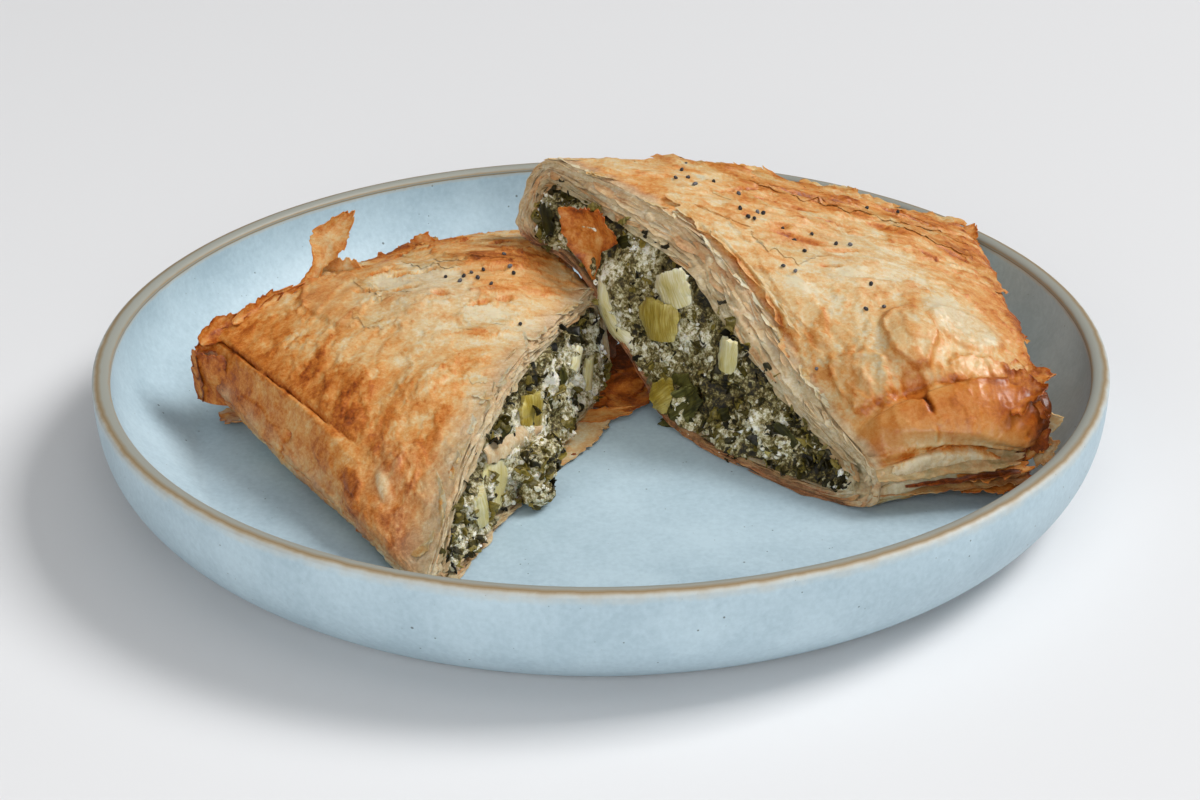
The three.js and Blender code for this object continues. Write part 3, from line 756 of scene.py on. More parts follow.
@dataclass(frozen=True)
class HalfForm:
    """A half of the pie as a slab: u runs along the cut from its front, v from the cut to the outer end and w
    from the underside to the crown. Corners go front and back of the cut, then front and back of the end."""

    base_corners: tuple[Pair, ...]
    crown_corners: tuple[Pair, ...]
    base_height: Callable[[Array, Array], Array]
    crown_heights: tuple[tuple[float, ...], ...]
    blisters: tuple[tuple[float, float, float, float], ...]  # u, v, radius and rise
    crease: Crease
    sag: float
    setback: float
    rounding: tuple[float, float, float, float]  # front, back, end and height
    core: dict[str, float]
    left_handed: bool = False
    length: float = 120.0  # about the length of the cut
    depth: float = 66.0  # about the length from the cut to the outer end
    thickness: float = 32.0

    def out_of_cut(self) -> Array:
        """The level direction out of the cut."""
        return np.append(-self.into_cut(), 0)

    def into_cut(self) -> Array:
        """The direction in plan from the cut into the half.

        Returns:
            x and y, of length 1.
        """
        front, back, end = (np.array(c) for c in self.base_corners[:3])
        along = unit(back - front)
        normal = np.array([-along[1], along[0]])
        return normal * np.sign(normal @ (end - front))

    @staticmethod
    def between(corners: tuple, u: Array, v: Array) -> Array:
        """The place in plan between four corners, by two-way blending.

        Args:
            corners: x and y where u and v are 0 0, 1 0, 0 1 and 1 1.
            u: share along the cut.
            v: share away from it.

        Returns:
            x and y in millimetres.
        """
        a, b, c, d = (np.array(corner) for corner in corners)
        u, v = u[..., None], v[..., None]
        return lerp(lerp(a, b, u), lerp(c, d, u), v)

    def crown_height(self, u: Array, v: Array) -> Array:
        """Height of the crown: curves through the rows of heights in u, then a curve through those in v."""
        rows = np.stack([curve_through(np.array(row, float), u) for row in self.crown_heights])
        return curve_through(rows, v)

    def relief(self, u: Array, v: Array) -> Array:
        """How far the blisters' bell curves and the crease's groove move the crown.

        Args:
            u: share along the cut.
            v: share away from it.

        Returns:
            Millimetres upwards.
        """
        place = self.between(self.crown_corners, u, v)
        rise = np.zeros(u.shape)
        for blister_u, blister_v, radius, height in self.blisters:
            middle = self.between(self.crown_corners, np.array(blister_u), np.array(blister_v))
            rise += height * bell(np.linalg.norm(place - middle, axis=-1), radius)
        start = self.between(self.crown_corners, *map(np.array, self.crease.start))
        end = self.between(self.crown_corners, *map(np.array, self.crease.end))
        way = unit(end - start)
        along = (place - start) @ way
        aside = (place - start) @ np.array([way[1], -way[0]])
        fade = smooth(-3, 6, along) * smooth(-3, 10, np.linalg.norm(end - start) - along)
        return rise - self.crease.depth * fade * bell(aside, self.crease.width)

    def rounded(self, shares: Array) -> Array:
        """The unit box with rounded edges, except those of its face at the cut.

        A point past the inner box is brought to an ellipsoid round it, in the same direction.

        Args:
            shares: places in the unit box.

        Returns:
            The same places in the rounded box.
        """
        front, back, end, height = self.rounding
        x, y, z = np.moveaxis(shares, -1, 0)
        nearest = stacked(np.clip(x, front, 1 - back), np.minimum(y, 1 - end), np.clip(z, height, 1 - height))
        radii = stacked(np.where(x < 0.5, front, back), end, height)
        away = (shares - nearest) / radii
        reach = np.linalg.norm(away, axis=-1, keepdims=True)
        return nearest + away * radii * np.abs(away).max(-1, keepdims=True) / np.maximum(reach, 1e-9)

    def point(self, box: Array, plain: bool = False) -> Array:
        """Places of the slab.

        The plan blends from the base's to the crown's outline with w, and the height from the base's to the
        crown's. At the cut the crown's edge is set back and the underside bows out.

        Args:
            box: u, v and w.
            plain: leaves out the blisters, the crease and the setback.

        Returns:
            x, y and z in millimetres.
        """
        u, v, w = np.moveaxis(box, -1, 0)
        crown = self.crown_height(u, v) + (0 if plain else self.relief(u, v))
        near_cut = np.maximum(0, 1 - v / 0.25)
        middle = np.sin(math.pi * np.clip(u, 0, 1)) ** 2
        back = 0 if plain else self.setback * middle * smooth(0.84, 1, w)
        bow = self.sag * np.sin(math.pi * np.clip(u / 0.6, 0, 1)) * (1 - w) ** 2
        pull = (near_cut * (back - bow))[..., None] * self.into_cut()
        base, top = self.between(self.base_corners, u, v), self.between(self.crown_corners, u, v)
        plan = lerp(base, top, w[..., None]) + pull
        return np.concatenate([plan, lerp(self.base_height(u, v), crown, w)[..., None]], -1)

    def core_box(self, shares: Array, clearance: float, start: float = 0.0) -> Array:
        """The filling's core, grown all round by a clearance.

        Args:
            shares: places in the core's own unit box.
            clearance: in millimetres.
            start: v of the core's face at the cut.

        Returns:
            The slab's u, v and w.
        """
        rounded = self.rounded(shares)
        share = clearance / 100
        u = lerp(self.core["front"] - share, self.core["back"] + share, rounded[..., 0])
        v = lerp(start, self.core["end"] + share, rounded[..., 1])
        thick = self.crown_height(u, v) - self.base_height(u, v)
        low = (self.core["under"] - clearance) / thick
        high = 1 - (self.core["over"] - clearance) / thick
        return stacked(u, v, lerp(low, high, rounded[..., 2]))


FLOOR_HEIGHT = 6.0
GAP = 0.35  # clearance between pieces that touch
ROOM = 1.5 * GAP  # clearance of a crust's room round its filling

LEFT = HalfForm(
    base_corners=((-38, -91), (3, 22), (-99, -1), (-24, 64)),
    crown_corners=((-42, -88), (0, 24), (-109, 1), (-24, 69)),
    base_height=lambda u, v: FLOOR_HEIGHT + GAP + 6 * smooth(0.65, 1, v) * (1 - smooth(0, 0.3, u)),
    blisters=((0.3, 0.25, 9, 1.6), (0.22, 0.45, 8, 1.3), (0.12, 0.2, 7, 1.4), (0.45, 0.5, 12, 1.2)),
    crease=Crease((0.06, 0.97), (0.095, 0.4), 0.4, 2), sag=0, setback=1.5, rounding=(0.05, 0.07, 0.06, 0.3),
    core={"front": 0.07, "back": 0.97, "end": 0.92, "under": 2.2, "over": 3.6},
    crown_heights=(
        (9, 28, 36, 37, 35), (17, 32, 39, 41, 37), (24, 35, 42, 44, 40), (27, 37, 42, 42, 38),
        (29, 36, 38, 37, 34),
    ),
)

RIGHT = HalfForm(
    left_handed=True, base_corners=((67, -52), (-24, 44), (108, -42), (104, 58)),
    crown_corners=((69, -50), (-16, 43), (112, -42), (105, 61)),
    base_height=lambda u, v: FLOOR_HEIGHT + GAP + v * (3 + 7 * u) + 35 * smooth(0.48, 0.86, u) * (1 - v),
    blisters=((0.22, 0.45, 9, 2.2), (0.32, 0.62, 8, 2.4), (0.5, 0.5, 14, 1.5), (0.7, 0.75, 9, 1.4)),
    crease=Crease((0.12, 0.05), (0.1, 0.95), 1.2, 4), sag=5, setback=7, rounding=(0.08, 0.07, 0.06, 0.35),
    core={"front": 0.07, "back": 0.95, "end": 0.92, "under": 2.6, "over": 6},
    crown_heights=(
        (18, 31, 52, 62, 66), (25, 37, 50, 60, 63), (29, 41, 48, 54, 56), (30, 38, 44, 47, 47),
        (29, 33, 36, 38, 37),
    ),
)


# --- the crust
class Side(Enum):
    """Which half of the pie."""

    LEFT = "left"
    RIGHT = "right"


@dataclass(frozen=True)
class Leaf:
    """A torn leaf of filo that lies on the crown: its root on u, v, its heading in degrees from u towards v,
    its size, how far its tip lifts and its sides curl, and how much browner it is than what is under it."""

    u: float
    v: float
    heading: float
    length: float
    width: float
    lift: float
    curl: float = 0.2
    browner: float = 0.05
    point: float = 0.4  # share of the width that is lost towards the tip


@dataclass(frozen=True)
class LooseLeaf:
    """A leaf that stands up or lies free: its root, the way it runs, the way its upper side faces, its
    length, its half widths at even steps, and how it is bent, baked and torn."""

    root: Triple
    along: Triple
    face: Triple
    length: float
    widths: tuple[float, ...]
    cup: float
    curl: float
    bake: float
    ragged: float
    wave: float
    seed: int
    thick: float = 0.26
    dough: float = 0.0
    gloss: float = 0.35
    front: float = 0.0
    stain: float = 0.0
    sway: tuple[float, ...] = (0, 0, 0)

    def surface(self, steps: tuple[int, int] = (44, 26)) -> Surface:
        """The closed sheet.

        At s along and t across, x = length s, y = t width(s) + sway(s) and z = cup t^2 + curl s^2 + waves.
        The sides and the tip are torn by noise in two sizes.

        Args:
            steps: cells along and across.

        Returns:
            The sheet with the pastry's values, "tone" and its "own" coordinates.
        """
        s, t = leaf_grid(*steps)
        side = stacked(s * self.length / 3, np.sign(t) * 4, 0)
        torn = noise(side, self.seed) + 0.5 * noise(side * 2.7, self.seed + 1)
        half = curve_through(np.array(self.widths, float), s)
        across = t * half * (1 + self.ragged * torn * np.abs(t))
        tip = stacked(across / 2.4, 0.5, 0)
        tip_torn = noise(tip, self.seed + 2) + 0.6 * noise(tip * 2.7, self.seed + 6)
        reach = s * self.length * (1 - 0.5 * self.ragged * np.abs(tip_torn) * s)
        flat = stacked(reach, across, 2.5)
        waves = noise(flat / (5, 5, 1), self.seed + 3) + 0.4 * noise(flat / (2, 2, 1), self.seed + 4)
        lateral = across + curve_through(np.array(self.sway, float), s)
        height = self.cup * t * t + self.curl * s * s + self.wave * waves * smooth(0, 0.25, s)
        way = unit(np.array(self.along, float))
        up = np.array(self.face, float)
        up = unit(up - (up @ way) * way)
        basis = np.stack([way, np.cross(up, way), up])
        grid = stacked(reach, lateral, height) @ basis + np.array(self.root)
        edge = np.maximum(smooth(0.8, 1, s), smooth(0.72, 1, np.abs(t)))
        mottle = clouds(flat, (7, 3, 1), self.seed + 5, 3)
        bake = np.clip(self.bake + 0.2 * mottle + 0.14 * edge, 0, 1)
        held = {"bake": bake, "tone": bake, "own": flat + 11.3 * self.seed}
        held |= {key: np.full_like(bake, getattr(self, key)) for key in LOOK[1:]}
        return sheets(grid[None], self.thick, {key: value[None] for key, value in held.items()})


@dataclass(frozen=True)
class Patch:
    """Part of an upper sheet, a puff or a hollow, with a torn outline: its middle on the unit box, its half
    sizes in millimetres along its heading, across and up, and what it does inside and at its edge."""

    u: float
    v: float
    w: float
    long: float
    wide: float
    high: float
    heading: float  # degrees from u towards v
    rise: float
    bake: float
    dough: float
    gloss: float
    soft: float  # share of the size over which it begins
    ragged: float
    lip: float = 0.0
    # line darkens the edge: browning, and painted shade along the puff's edge; below nothing it is paler
    line: float = 0.0  # how much browner the line at its edge is

    def shares(self, grain: Array, scale: Array, seed: int) -> tuple[Array, Array]:
        """How far inside the outline places are, and how near to it, both from 0 to 1.

        Args:
            grain: the places as u, v and w in millimetres.
            scale: the half's length, depth and thickness.
            seed: of the torn outline.

        Returns:
            The two shares.
        """
        x, y, up = np.moveaxis(grain - (self.u, self.v, self.w) * scale, -1, 0)
        along, across = turned(x, y, self.heading)
        reach = np.sqrt((along / self.long) ** 2 + (across / self.wide) ** 2 + (up / self.high) ** 2)
        torn = noise(grain / 7, seed) + 0.45 * noise(grain / 2.4, seed + 1) + 0.2 * noise(grain, seed + 2)
        reach = reach * (1 + self.ragged * torn)
        return smooth(1 + self.soft, 1 - self.soft, reach), bell(reach - 1, 1.6 * self.soft)


@dataclass(frozen=True)
class Groove:
    """A groove in the crust's side where one folded sheet lies on another: its height as a share of the
    side's, at the cut and at the outer end, its depth and width, and how far it wanders."""

    w: Pair
    depth: float
    width: float
    wander: float = 0.05
    # how much darker the groove is painted: browning, and painted shade in it
    bake: float = 0.1


@dataclass(frozen=True)
class Cut:
    """A crack or a slot in the crust between two places of the unit box."""

    start: Triple
    end: Triple
    depth: float
    width: float
    # how much darker the crack is painted: browning, and painted shade in it
    bake: float = 0.2


@dataclass
class Crust:
    """The baked filo of one half, with its relief, its torn leaves and the sheets that show at the cut."""

    side: Side
    form: HalfForm
    seed: int
    base_bake: float
    # Spots brown the crust; one on the left half's front side face also paints that face's shade.
    spots: tuple[Spot, ...]  # browning
    dough_spots: tuple[Spot, ...]
    gloss_spots: tuple[Spot, ...]
    crumple_spots: tuple[Spot, ...]  # crumpled patches, with their relief in millimetres
    rib_spots: tuple[Spot, ...]  # patches with fine pale ribs, with their relief in millimetres
    patches: tuple[Patch, ...]
    front_heading: float  # degrees in plan of the streaks near the front and behind
    back_heading: float
    turn: Pair  # where along u the one gives way to the other
    fold_rise: float
    terrace_rise: float
    roll: float  # how far the rolled front edge bulges
    roll_line: Pair  # w of the roll's lower edge at the cut and at the outer end
    press: float  # share by which the front's upper edge is pressed to a slope
    grooves: tuple[Groove, ...]
    cuts: tuple[Cut, ...]
    leaves: tuple[Leaf, ...]
    standing: tuple[LooseLeaf, ...]
    seeds: tuple[Pair, ...]  # u and v of each poppy seed
    slivers: Pair  # between which shares of u small leaves are torn
    openings: tuple[tuple[float, ...], ...]  # torn openings: u, v, heading, half length and half width in mm
    stain_spots: tuple[Spot, ...]
    small_leaves: int = 16
    edge_shreds: int = 26
    shreds: int = 240
    base_crust: float = 0.8  # how much browner the underside's crust is
    band_fade: float = 4.0  # millimetres over which the crown pales towards the cut
    puff_rise: float = 0.45
    press_reach: float = 8.5  # millimetres from the front to the slope's top
    cells: Cells = (220, 120, 50)
    inner_steps: int = 8
    band_rows: int = 16

    @property
    def scale(self) -> Array:
        """Millimetres along u, v and w."""
        return np.array([self.form.length, self.form.depth, self.form.thickness])

    def surface(self) -> Surface:
        """The closed crust: outer skin, laminated band round the cut, and the room for the filling.

        Returns:
            The crust with the values of its look.
        """
        form = self.form
        outer, inner = BoxNet(self.cells), BoxNet((self.cells[0], self.inner_steps, self.cells[2]))
        skin = form.rounded(outer.shares)
        room = form.core_box(inner.shares, ROOM)
        shares = (np.arange(1, self.band_rows) / self.band_rows)[:, None, None]
        band = lerp(skin[outer.rim][None], room[inner.rim][None], shares)
        count = len(outer.rim)
        box = np.concatenate([skin, band.reshape(-1, 3), room])
        first_band, first_room = len(skin), len(skin) + len(band) * count
        places = np.concatenate([form.point(box[:first_room]), form.point(room, True)])
        band_ids = np.arange(first_band, first_room).reshape(-1, count)
        rows = np.concatenate([outer.rim[None], band_ids, first_room + inner.rim[None]])
        strip = rows.ravel()[grid_faces(len(rows), count, closed=True)][:, ::-1]
        faces = np.concatenate([outer.faces, strip, inner.faces[:, ::-1] + first_room])
        if form.left_handed:
            faces = faces[:, ::-1]
        outside, from_edge, in_band = np.zeros((3, len(box)))
        outside[:first_room] = 1
        in_band[first_band:first_room] = 1
        from_edge[first_band:first_room], from_edge[first_room:] = np.repeat(shares.ravel(), count), 1
        places = places + self.pressed(box) * outside[:, None]
        surface = Surface(places, faces)
        lift, look = self.skin_look(box, places)
        layers, band_bake = self.band_look(box, from_edge)
        surface.points = places + surface.normals() * (lerp(lift, layers, in_band) * outside)[:, None]
        from_cut = box[:, 1] * form.depth + 1.6 * noise(places / 4, self.seed + 84)
        near_band = in_band + (1 - in_band) * outside * smooth(self.band_fade, 0.2, from_cut)
        look["bake"] = np.clip(lerp(look["bake"], band_bake, near_band), 0, 1)
        paled = 0.8 * near_band * (1 - 0.9 * self.base_crust * smooth(0.2, 0.02, box[:, 2]))
        look["dough"] = np.clip(np.maximum(look["dough"], paled) * outside + (1 - outside), 0, 1)
        look["gloss"] = look["gloss"] * (1 - near_band)
        damp = smooth(0.5, 1.0, from_edge) * (0.5 + clouds(places, 5, self.seed + 87, 3)) * in_band
        look["stain"] = np.clip(look["stain"] + 0.8 * damp, 0, 1)
        surface.values = look
        return surface

    @staticmethod
    def plan(places: Array, heading: float) -> Array:
        """Coordinates along and across a heading in plan, and up, in millimetres."""
        x, y, z = np.moveaxis(places, -1, 0)
        return stacked(*turned(x, y, heading), z)

    def pressed(self, box: Array) -> Array:
        """How the front's upper edge moves as it is pressed to a slope that starts at the fold crease.

        A place moves against the slope's normal, by the distance that the slab stands proud of it.

        Args:
            box: u, v and w.

        Returns:
            The move in x, y and z.
        """
        level, up = SLOPE
        proud = level * (self.press_reach - box[..., 0] * self.form.length)
        proud = proud - up * (1 - box[..., 2]) * self.form.thickness
        front, back = (np.array(corner, float) for corner in self.form.crown_corners[:2])
        normal = np.append(level * unit(front - back), up)
        share = self.press * np.maximum(proud, 0) * smooth(0.2, 0.5, box[..., 1])
        return -share[..., None] * normal

    def skin_look(self, box: Array, places: Array) -> tuple[Array, dict[str, Array]]:
        """The outer skin's relief and browning.

        The lift is the sum of broad puffs, folds along the headings, terraces where an upper sheet ends in a
        torn edge, crumpled spots, patches, side grooves and cracks. Crests are browner. Grooves, cracks, torn
        openings and the lines at patches' edges are painted darker, partly as browning and partly as painted
        shade.

        Args:
            box: u, v and w.
            places: x, y and z.

        Returns:
            The lift in millimetres, and the values of the look.
        """
        seed = self.seed
        u, v, w = np.moveaxis(box, -1, 0)
        grain = box * self.scale
        warped = places + 2.4 * stacked(*(noise(places / 10, seed + 90 + k) for k in range(3)))
        headed = self.plan(warped, self.front_heading), self.plan(warped, self.back_heading)
        front = 1 - smooth(*self.turn, u)
        below = (w - lerp(*self.roll_line, v)) * self.form.thickness
        rolled = smooth(0, 5, (0.13 - u) * self.form.length) * smooth(0, 3, below) * smooth(1.0, 0.82, v)

        def flow(kind: Callable, size: tuple, shift: int, octaves: int) -> Array:
            """A pattern drawn out along the front's heading in front, and along the back's behind."""
            first, second = (kind(plan, size, seed + shift + k, octaves) for k, plan in enumerate(headed))
            return lerp(second, first, front)

        def total(spots: tuple[Spot, ...]) -> Array:
            """The sum of the spots' weights."""
            return sum((spot.weight(box) for spot in spots), np.zeros(len(box)))

        top = smooth(0.5, 0.85, w)
        folds = flow(wrinkles, (24, 5, 9), 3, 1)
        streaks = flow(clouds, (11, 1.5, 4), 13, 3)
        broad = clouds(places, 19, seed + 31, 2)
        lift = self.puff_rise * clouds(places, 15, seed, 2) + self.fold_rise * folds + 0.1 * streaks
        bake = self.base_bake + 0.16 * broad + 0.15 * flow(clouds, (15, 4.5, 9), 33, 4)
        bake += 0.06 * (folds - 0.3) + 0.07 * streaks
        for k, (size, level, tone) in enumerate(SHEET_EDGES):
            over = flow(clouds, size, 43 + 10 * k, 4) - level
            lift += self.terrace_rise * (smooth(-0.03, 0.03, over) + 0.8 * bell(over - 0.05, 0.06))
            bake += tone * (smooth(-0.03, 0.03, over) - 0.5) + 0.09 * bell(over, 0.03)
        bake = lerp(bake, self.base_bake, 0.6 * rolled)
        crumple = total(self.crumple_spots)
        crests = flow(wrinkles, (8, 2.6, 4), 120, 2)
        lift += crumple * crests
        bake += 0.2 * np.minimum(crumple, 1) * (crests - 0.3) + total(self.spots)
        ribs = total(self.rib_spots) * flow(wrinkles, (7, 1.7, 3), 126, 2)
        lift = (lift + ribs) * (1 - 0.5 * rolled)
        bake -= 0.35 * ribs
        raw = 0.3 * (1 - top) * (0.4 + clouds(places, 8, seed + 130, 3))
        dough = total(self.dough_spots) + raw + 0.6 * ribs
        gloss = 0.25 + 0.2 * clouds(places, 9, seed + 170, 2) + total(self.gloss_spots)
        gloss += 0.4 * rolled * (self.roll > 1)
        openings = (Patch(*row[:2], 1, *row[3:], 9, row[2], *OPENING) for row in self.openings)
        for k, patch in enumerate((*self.patches, *openings)):
            inside, line = patch.shares(grain, self.scale, seed + 200 + 5 * k)
            lift += patch.rise * inside + patch.lip * line
            bake += patch.bake * inside + patch.line * line
            dough += patch.dough * inside
            gloss += patch.gloss * inside
        groove_lift, groove_browning_and_shade = self.grooves_at(grain, v, w)
        cut_lift, crack_browning_and_shade = self.cuts_at(grain)
        # Grooves and cracks are painted darker and less doughy: browning, and painted shade in them.
        dough -= 4 * (groove_browning_and_shade + crack_browning_and_shade)
        lift += groove_lift + cut_lift + self.roll * rolled + 0.05 * clouds(places, 1.8, seed + 160, 2)
        edge_u = np.minimum(u, 1 - u) * self.form.length
        bake += groove_browning_and_shade + crack_browning_and_shade + 0.1 * bell(np.minimum(edge_u, (1 - v) * self.form.depth), 6) * top
        look = zip(LOOK, (bake, dough, front, gloss, total(self.stain_spots)))
        return lift, {key: np.clip(value, 0, 1) for key, value in look}

    def grooves_at(self, grain: Array, v: Array, w: Array) -> tuple[Array, Array]:
        """What the side's grooves do: each is a bell curve across a level line that wanders.

        Args:
            grain: u, v and w in millimetres.
            v: share away from the cut.
            w: share of the height.

        Returns:
            How much they take away, as a lift below nothing, and how much darker they make it: browning, and
            painted shade in the groove.
        """
        lift, bake = np.zeros(len(grain)), np.zeros(len(grain))
        side = smooth(0.35, 0.1, grain[:, 0] / 12) * smooth(1.0, 0.96, w)
        for k, groove in enumerate(self.grooves):
            level = stacked(grain[:, 0], grain[:, 1], 40.0 * k)
            wander = groove.wander * self.form.thickness * noise(level / 12, self.seed + 140)
            depth = groove.depth * side * (0.75 + 0.5 * noise(level / 7, self.seed + 141))
            shape = bell(grain[:, 2] + wander - lerp(*groove.w, v) * self.form.thickness, groove.width)
            lift -= depth * shape
            bake += groove.bake * side * shape
        return lift, bake

    def cuts_at(self, grain: Array) -> tuple[Array, Array]:
        """What the cracks do: each is a bell curve across a line, and fades at both of its ends.

        Args:
            grain: u, v and w in millimetres.

        Returns:
            How much they take away, as a lift below nothing, and how much darker they make it: browning, and
            painted shade in the crack.
        """
        lift, bake = np.zeros(len(grain)), np.zeros(len(grain))
        jitter = noise(grain / 2.5, self.seed + 150)[:, None]
        for cut in self.cuts:
            start, end = np.array(cut.start) * self.scale, np.array(cut.end) * self.scale
            way, long = unit(end - start), np.linalg.norm(end - start)
            along = (grain - start) @ way
            away = grain - start - along[:, None] * way + 0.6 * cut.width * jitter
            mark = bell(np.linalg.norm(away, axis=-1), cut.width)
            mark *= smooth(-0.5, 1.5, along) * smooth(-0.5, 1.5, long - along)
            lift -= cut.depth * mark
            bake += cut.bake * mark
        return lift, bake

    def band_look(self, box: Array, from_edge: Array) -> tuple[Array, Array]:
        """The laminated band: sheets a fraction of a millimetre apart that end at uneven lengths.

        Args:
            box: u, v and w.
            from_edge: share of the way from the outer edge to the filling.

        Returns:
            How far the sheets stand out, and how brown they are.
        """
        grain = box * self.scale
        layered = stacked(grain[:, 0] / 9, from_edge * self.band_rows / 2.1, grain[:, 2] / 9)
        ends = noise(layered, self.seed + 80) + 0.5 * noise(layered * 2.1, self.seed + 81)
        lift = 0.8 * ends + 1.1 * clouds(grain, 6, self.seed + 82, 3)
        lift = lift + 0.4 * noise(grain / 1.5, self.seed + 85)
        bake = 0.34 + 0.5 * noise(layered * (1, 1.6, 1), self.seed + 83) + 0.2 * bell(from_edge, 0.14)
        bake += self.base_crust * smooth(0.22, 0.02, box[:, 2])
        return lift, bake + 0.14 * clouds(grain, 9, self.seed + 86, 3)

    def at(self, u: Array, v: Array) -> tuple[Array, Array, dict[str, Array]]:
        """Points, upward normals and look of the finished crown at u, v.

        Past the slab's edges the surface is carried on level, so that a leaf can overhang them.

        Args:
            u: share along the cut.
            v: share away from the cut.

        Returns:
            The points, the normals and the values of the look.
        """
        form = self.form
        box = stacked(np.clip(u, 0, 1), np.clip(v, 0, 1), 1)
        over = stacked(u, v) - box[..., :2]
        step = 0.012

        def crown(shift_u: float, shift_v: float) -> Array:
            """The rounded slab's point a small step away."""
            skin = form.rounded(np.clip(box + np.array([shift_u, shift_v, 0]), 0, 1))
            return form.point(skin) + self.pressed(skin)

        here = crown(0, 0)
        normal = unit(np.cross(crown(step, 0) - crown(-step, 0), crown(0, step) - crown(0, -step)))
        normal *= np.where(normal[..., 2:] < 0, -1, 1)
        lift, look = self.skin_look(form.rounded(box).reshape(-1, 3), here.reshape(-1, 3))
        corners = np.array(form.crown_corners, float)
        along_u, along_v = (np.append(unit(corners[k] - corners[0]), 0) for k in (1, 2))
        past = over[..., :1] * form.length * along_u + over[..., 1:] * form.depth * along_v
        look = {key: value.reshape(u.shape) for key, value in look.items()}
        return here + normal * lift.reshape(u.shape)[..., None] + past, normal, look

    def leaf_sheets(self, leaves: tuple[Leaf, ...], seed: int, steps: tuple[int, int]) -> Surface:
        """Leaves that hug the crown at their roots and lift towards their ragged tips.

        A leaf's s runs from 0 to 1 along its heading and t from -1 to 1 across. Its length and width are
        torn by noise, and its height above the crown is lift s^1.6 + curl t^2 s.

        Args:
            leaves: what they are.
            seed: their random shapes.
            steps: cells along and across each.

        Returns:
            The closed sheets.
        """
        rows = np.array([astuple(leaf) for leaf in leaves])
        u, v, heading, length, width, lift, curl, browner, point = rows.T[:, :, None, None]
        angle = np.radians(heading)
        s, t = leaf_grid(*steps)
        shift = default_rng(seed).uniform(0, 99, (len(leaves), 1, 1, 3))

        def tear(x: Array, y: Array, shift_by: float) -> Array:
            """Noise in two sizes at a place that is different for each leaf."""
            at = stacked(x, y, 0) + shift + shift_by
            return noise(at, seed) + 0.5 * noise(at * 2.4, seed + 1) + 0.22 * noise(at * 6, seed + 2)

        sides = tear(s * length / 4, np.sign(t) * 3, 0)
        narrowed = (1 - point * s**1.5) * (1 + 0.3 * sides * np.abs(t))
        reach = s * length * (1 + 0.4 * tear(t * width / 8, 0.5, 7) * s)
        aside = t * width / 2 * narrowed
        leaf_u = u + (reach * np.cos(angle) - aside * np.sin(angle)) / self.form.length
        leaf_v = v + (reach * np.sin(angle) + aside * np.cos(angle)) / self.form.depth
        points, normal, look = self.at(leaf_u, leaf_v)
        wave = tear(s * length / 6, t * width / 6, 15)
        height = lift * (s**1.6 + 0.3 * wave * s) + curl * t * t * s - 0.3 * (1 - s) ** 2 + 0.05
        grid = points + normal * height[..., None]
        edge = np.maximum(smooth(0.7, 1, s), smooth(0.8, 1, np.abs(t)) * smooth(0.1, 0.5, s))
        look["bake"] = np.clip(look["bake"] + browner * smooth(0, 0.4, s) - 0.06 * edge, 0, 1)
        if self.form.left_handed:
            grid, look = grid[:, :, ::-1], {key: value[:, :, ::-1] for key, value in look.items()}
        return sheets(grid, LEAF_THICKNESS, look)

    def scattered(self) -> tuple[Leaf, ...]:
        """Small torn leaves with their free edges along the streaks, and shreds along the cut's edge.

        Returns:
            The leaves.
        """
        random = default_rng(self.seed)
        corners = np.array(self.form.crown_corners, float)
        along = corners[1] - corners[0]
        turn = math.degrees(math.atan2(along[1], along[0]))
        sense = -1 if self.form.left_handed else 1
        made = []
        for _ in range(self.small_leaves):
            u, v = random.uniform(*self.slivers), random.uniform(0.1, 0.95)
            streak = lerp(self.front_heading, self.back_heading, smooth(*self.turn, u))
            heading = sense * (streak - turn) + random.choice([-90, 90]) + random.normal() * 16
            length, width, lift = random.uniform(1.2, 3.6), random.uniform(5, 20), random.uniform(0.0, 0.08)
            made.append(Leaf(u, v, heading, length, width, lift, 0.03, random.uniform(-0.08, 0.2)))
        for _ in range(self.edge_shreds):
            u, v = random.uniform(0.06, 0.95), random.uniform(0.005, 0.05)
            heading = -90 + random.normal() * 30
            length, width, lift = random.uniform(1.0, 2.6), random.uniform(3, 11), random.uniform(0.05, 0.6)
            made.append(Leaf(u, v, heading, length, width, lift, 0.1, random.uniform(-0.25, 0.0)))
        return tuple(made)

    def band_shreds(self) -> Surface:
        """Torn strips of the sheets that end in the band round the filling.

        A strip runs s of its length along the band's loop and t of its half width inwards from the edge, and
        stands out of the cut by its lift, bent by noise.

        Returns:
            The closed sheets.
        """
        form, random, count = self.form, default_rng(self.seed + 2), self.shreds
        outer, inner = BoxNet(self.cells), BoxNet((self.cells[0], self.inner_steps, self.cells[2]))
        rims = form.rounded(outer.shares)[outer.rim], form.core_box(inner.shares, ROOM)[inner.rim]
        loop = len(outer.rim)
        s, t = leaf_grid(*SHRED_STEPS)
        start, length, share, half, lift, shade = (
            random.uniform(low, high, (count, 1, 1))
            for low, high in ((0, loop), (7, 46), (0.0, 1.05), (0.05, 0.2), (0.2, 1.7), (0, 1))
        )
        shift = random.uniform(0, 99, (count, 1, 1, 3))
        torn = noise(stacked(s * length / 5, np.sign(t) * 3, 0) + shift, 7)
        at = (start + s * length) % loop
        across = share + (s - 0.5) * random.normal(0, 0.12, (count, 1, 1))
        across = np.clip(across + t * half * (1 - np.abs(2 * s - 1) ** 3) * (1 + 0.6 * torn), -0.03, 1.3)
        steps = np.arange(loop + 1)
        ends = [stacked(*(np.interp(at, steps, part) for part in rim[steps % loop].T)) for rim in rims]
        waves = noise(stacked(s * length / 9, t * 0.5, 0) + shift, 8)
        out = form.out_of_cut()
        height = 0.25 + lift * (0.5 + waves) * (0.4 + 0.6 * np.abs(t)) * (1 - np.abs(2 * s - 1) ** 4)
        grid = form.point(lerp(ends[0], ends[1], across[..., None])) + out * height[..., None]
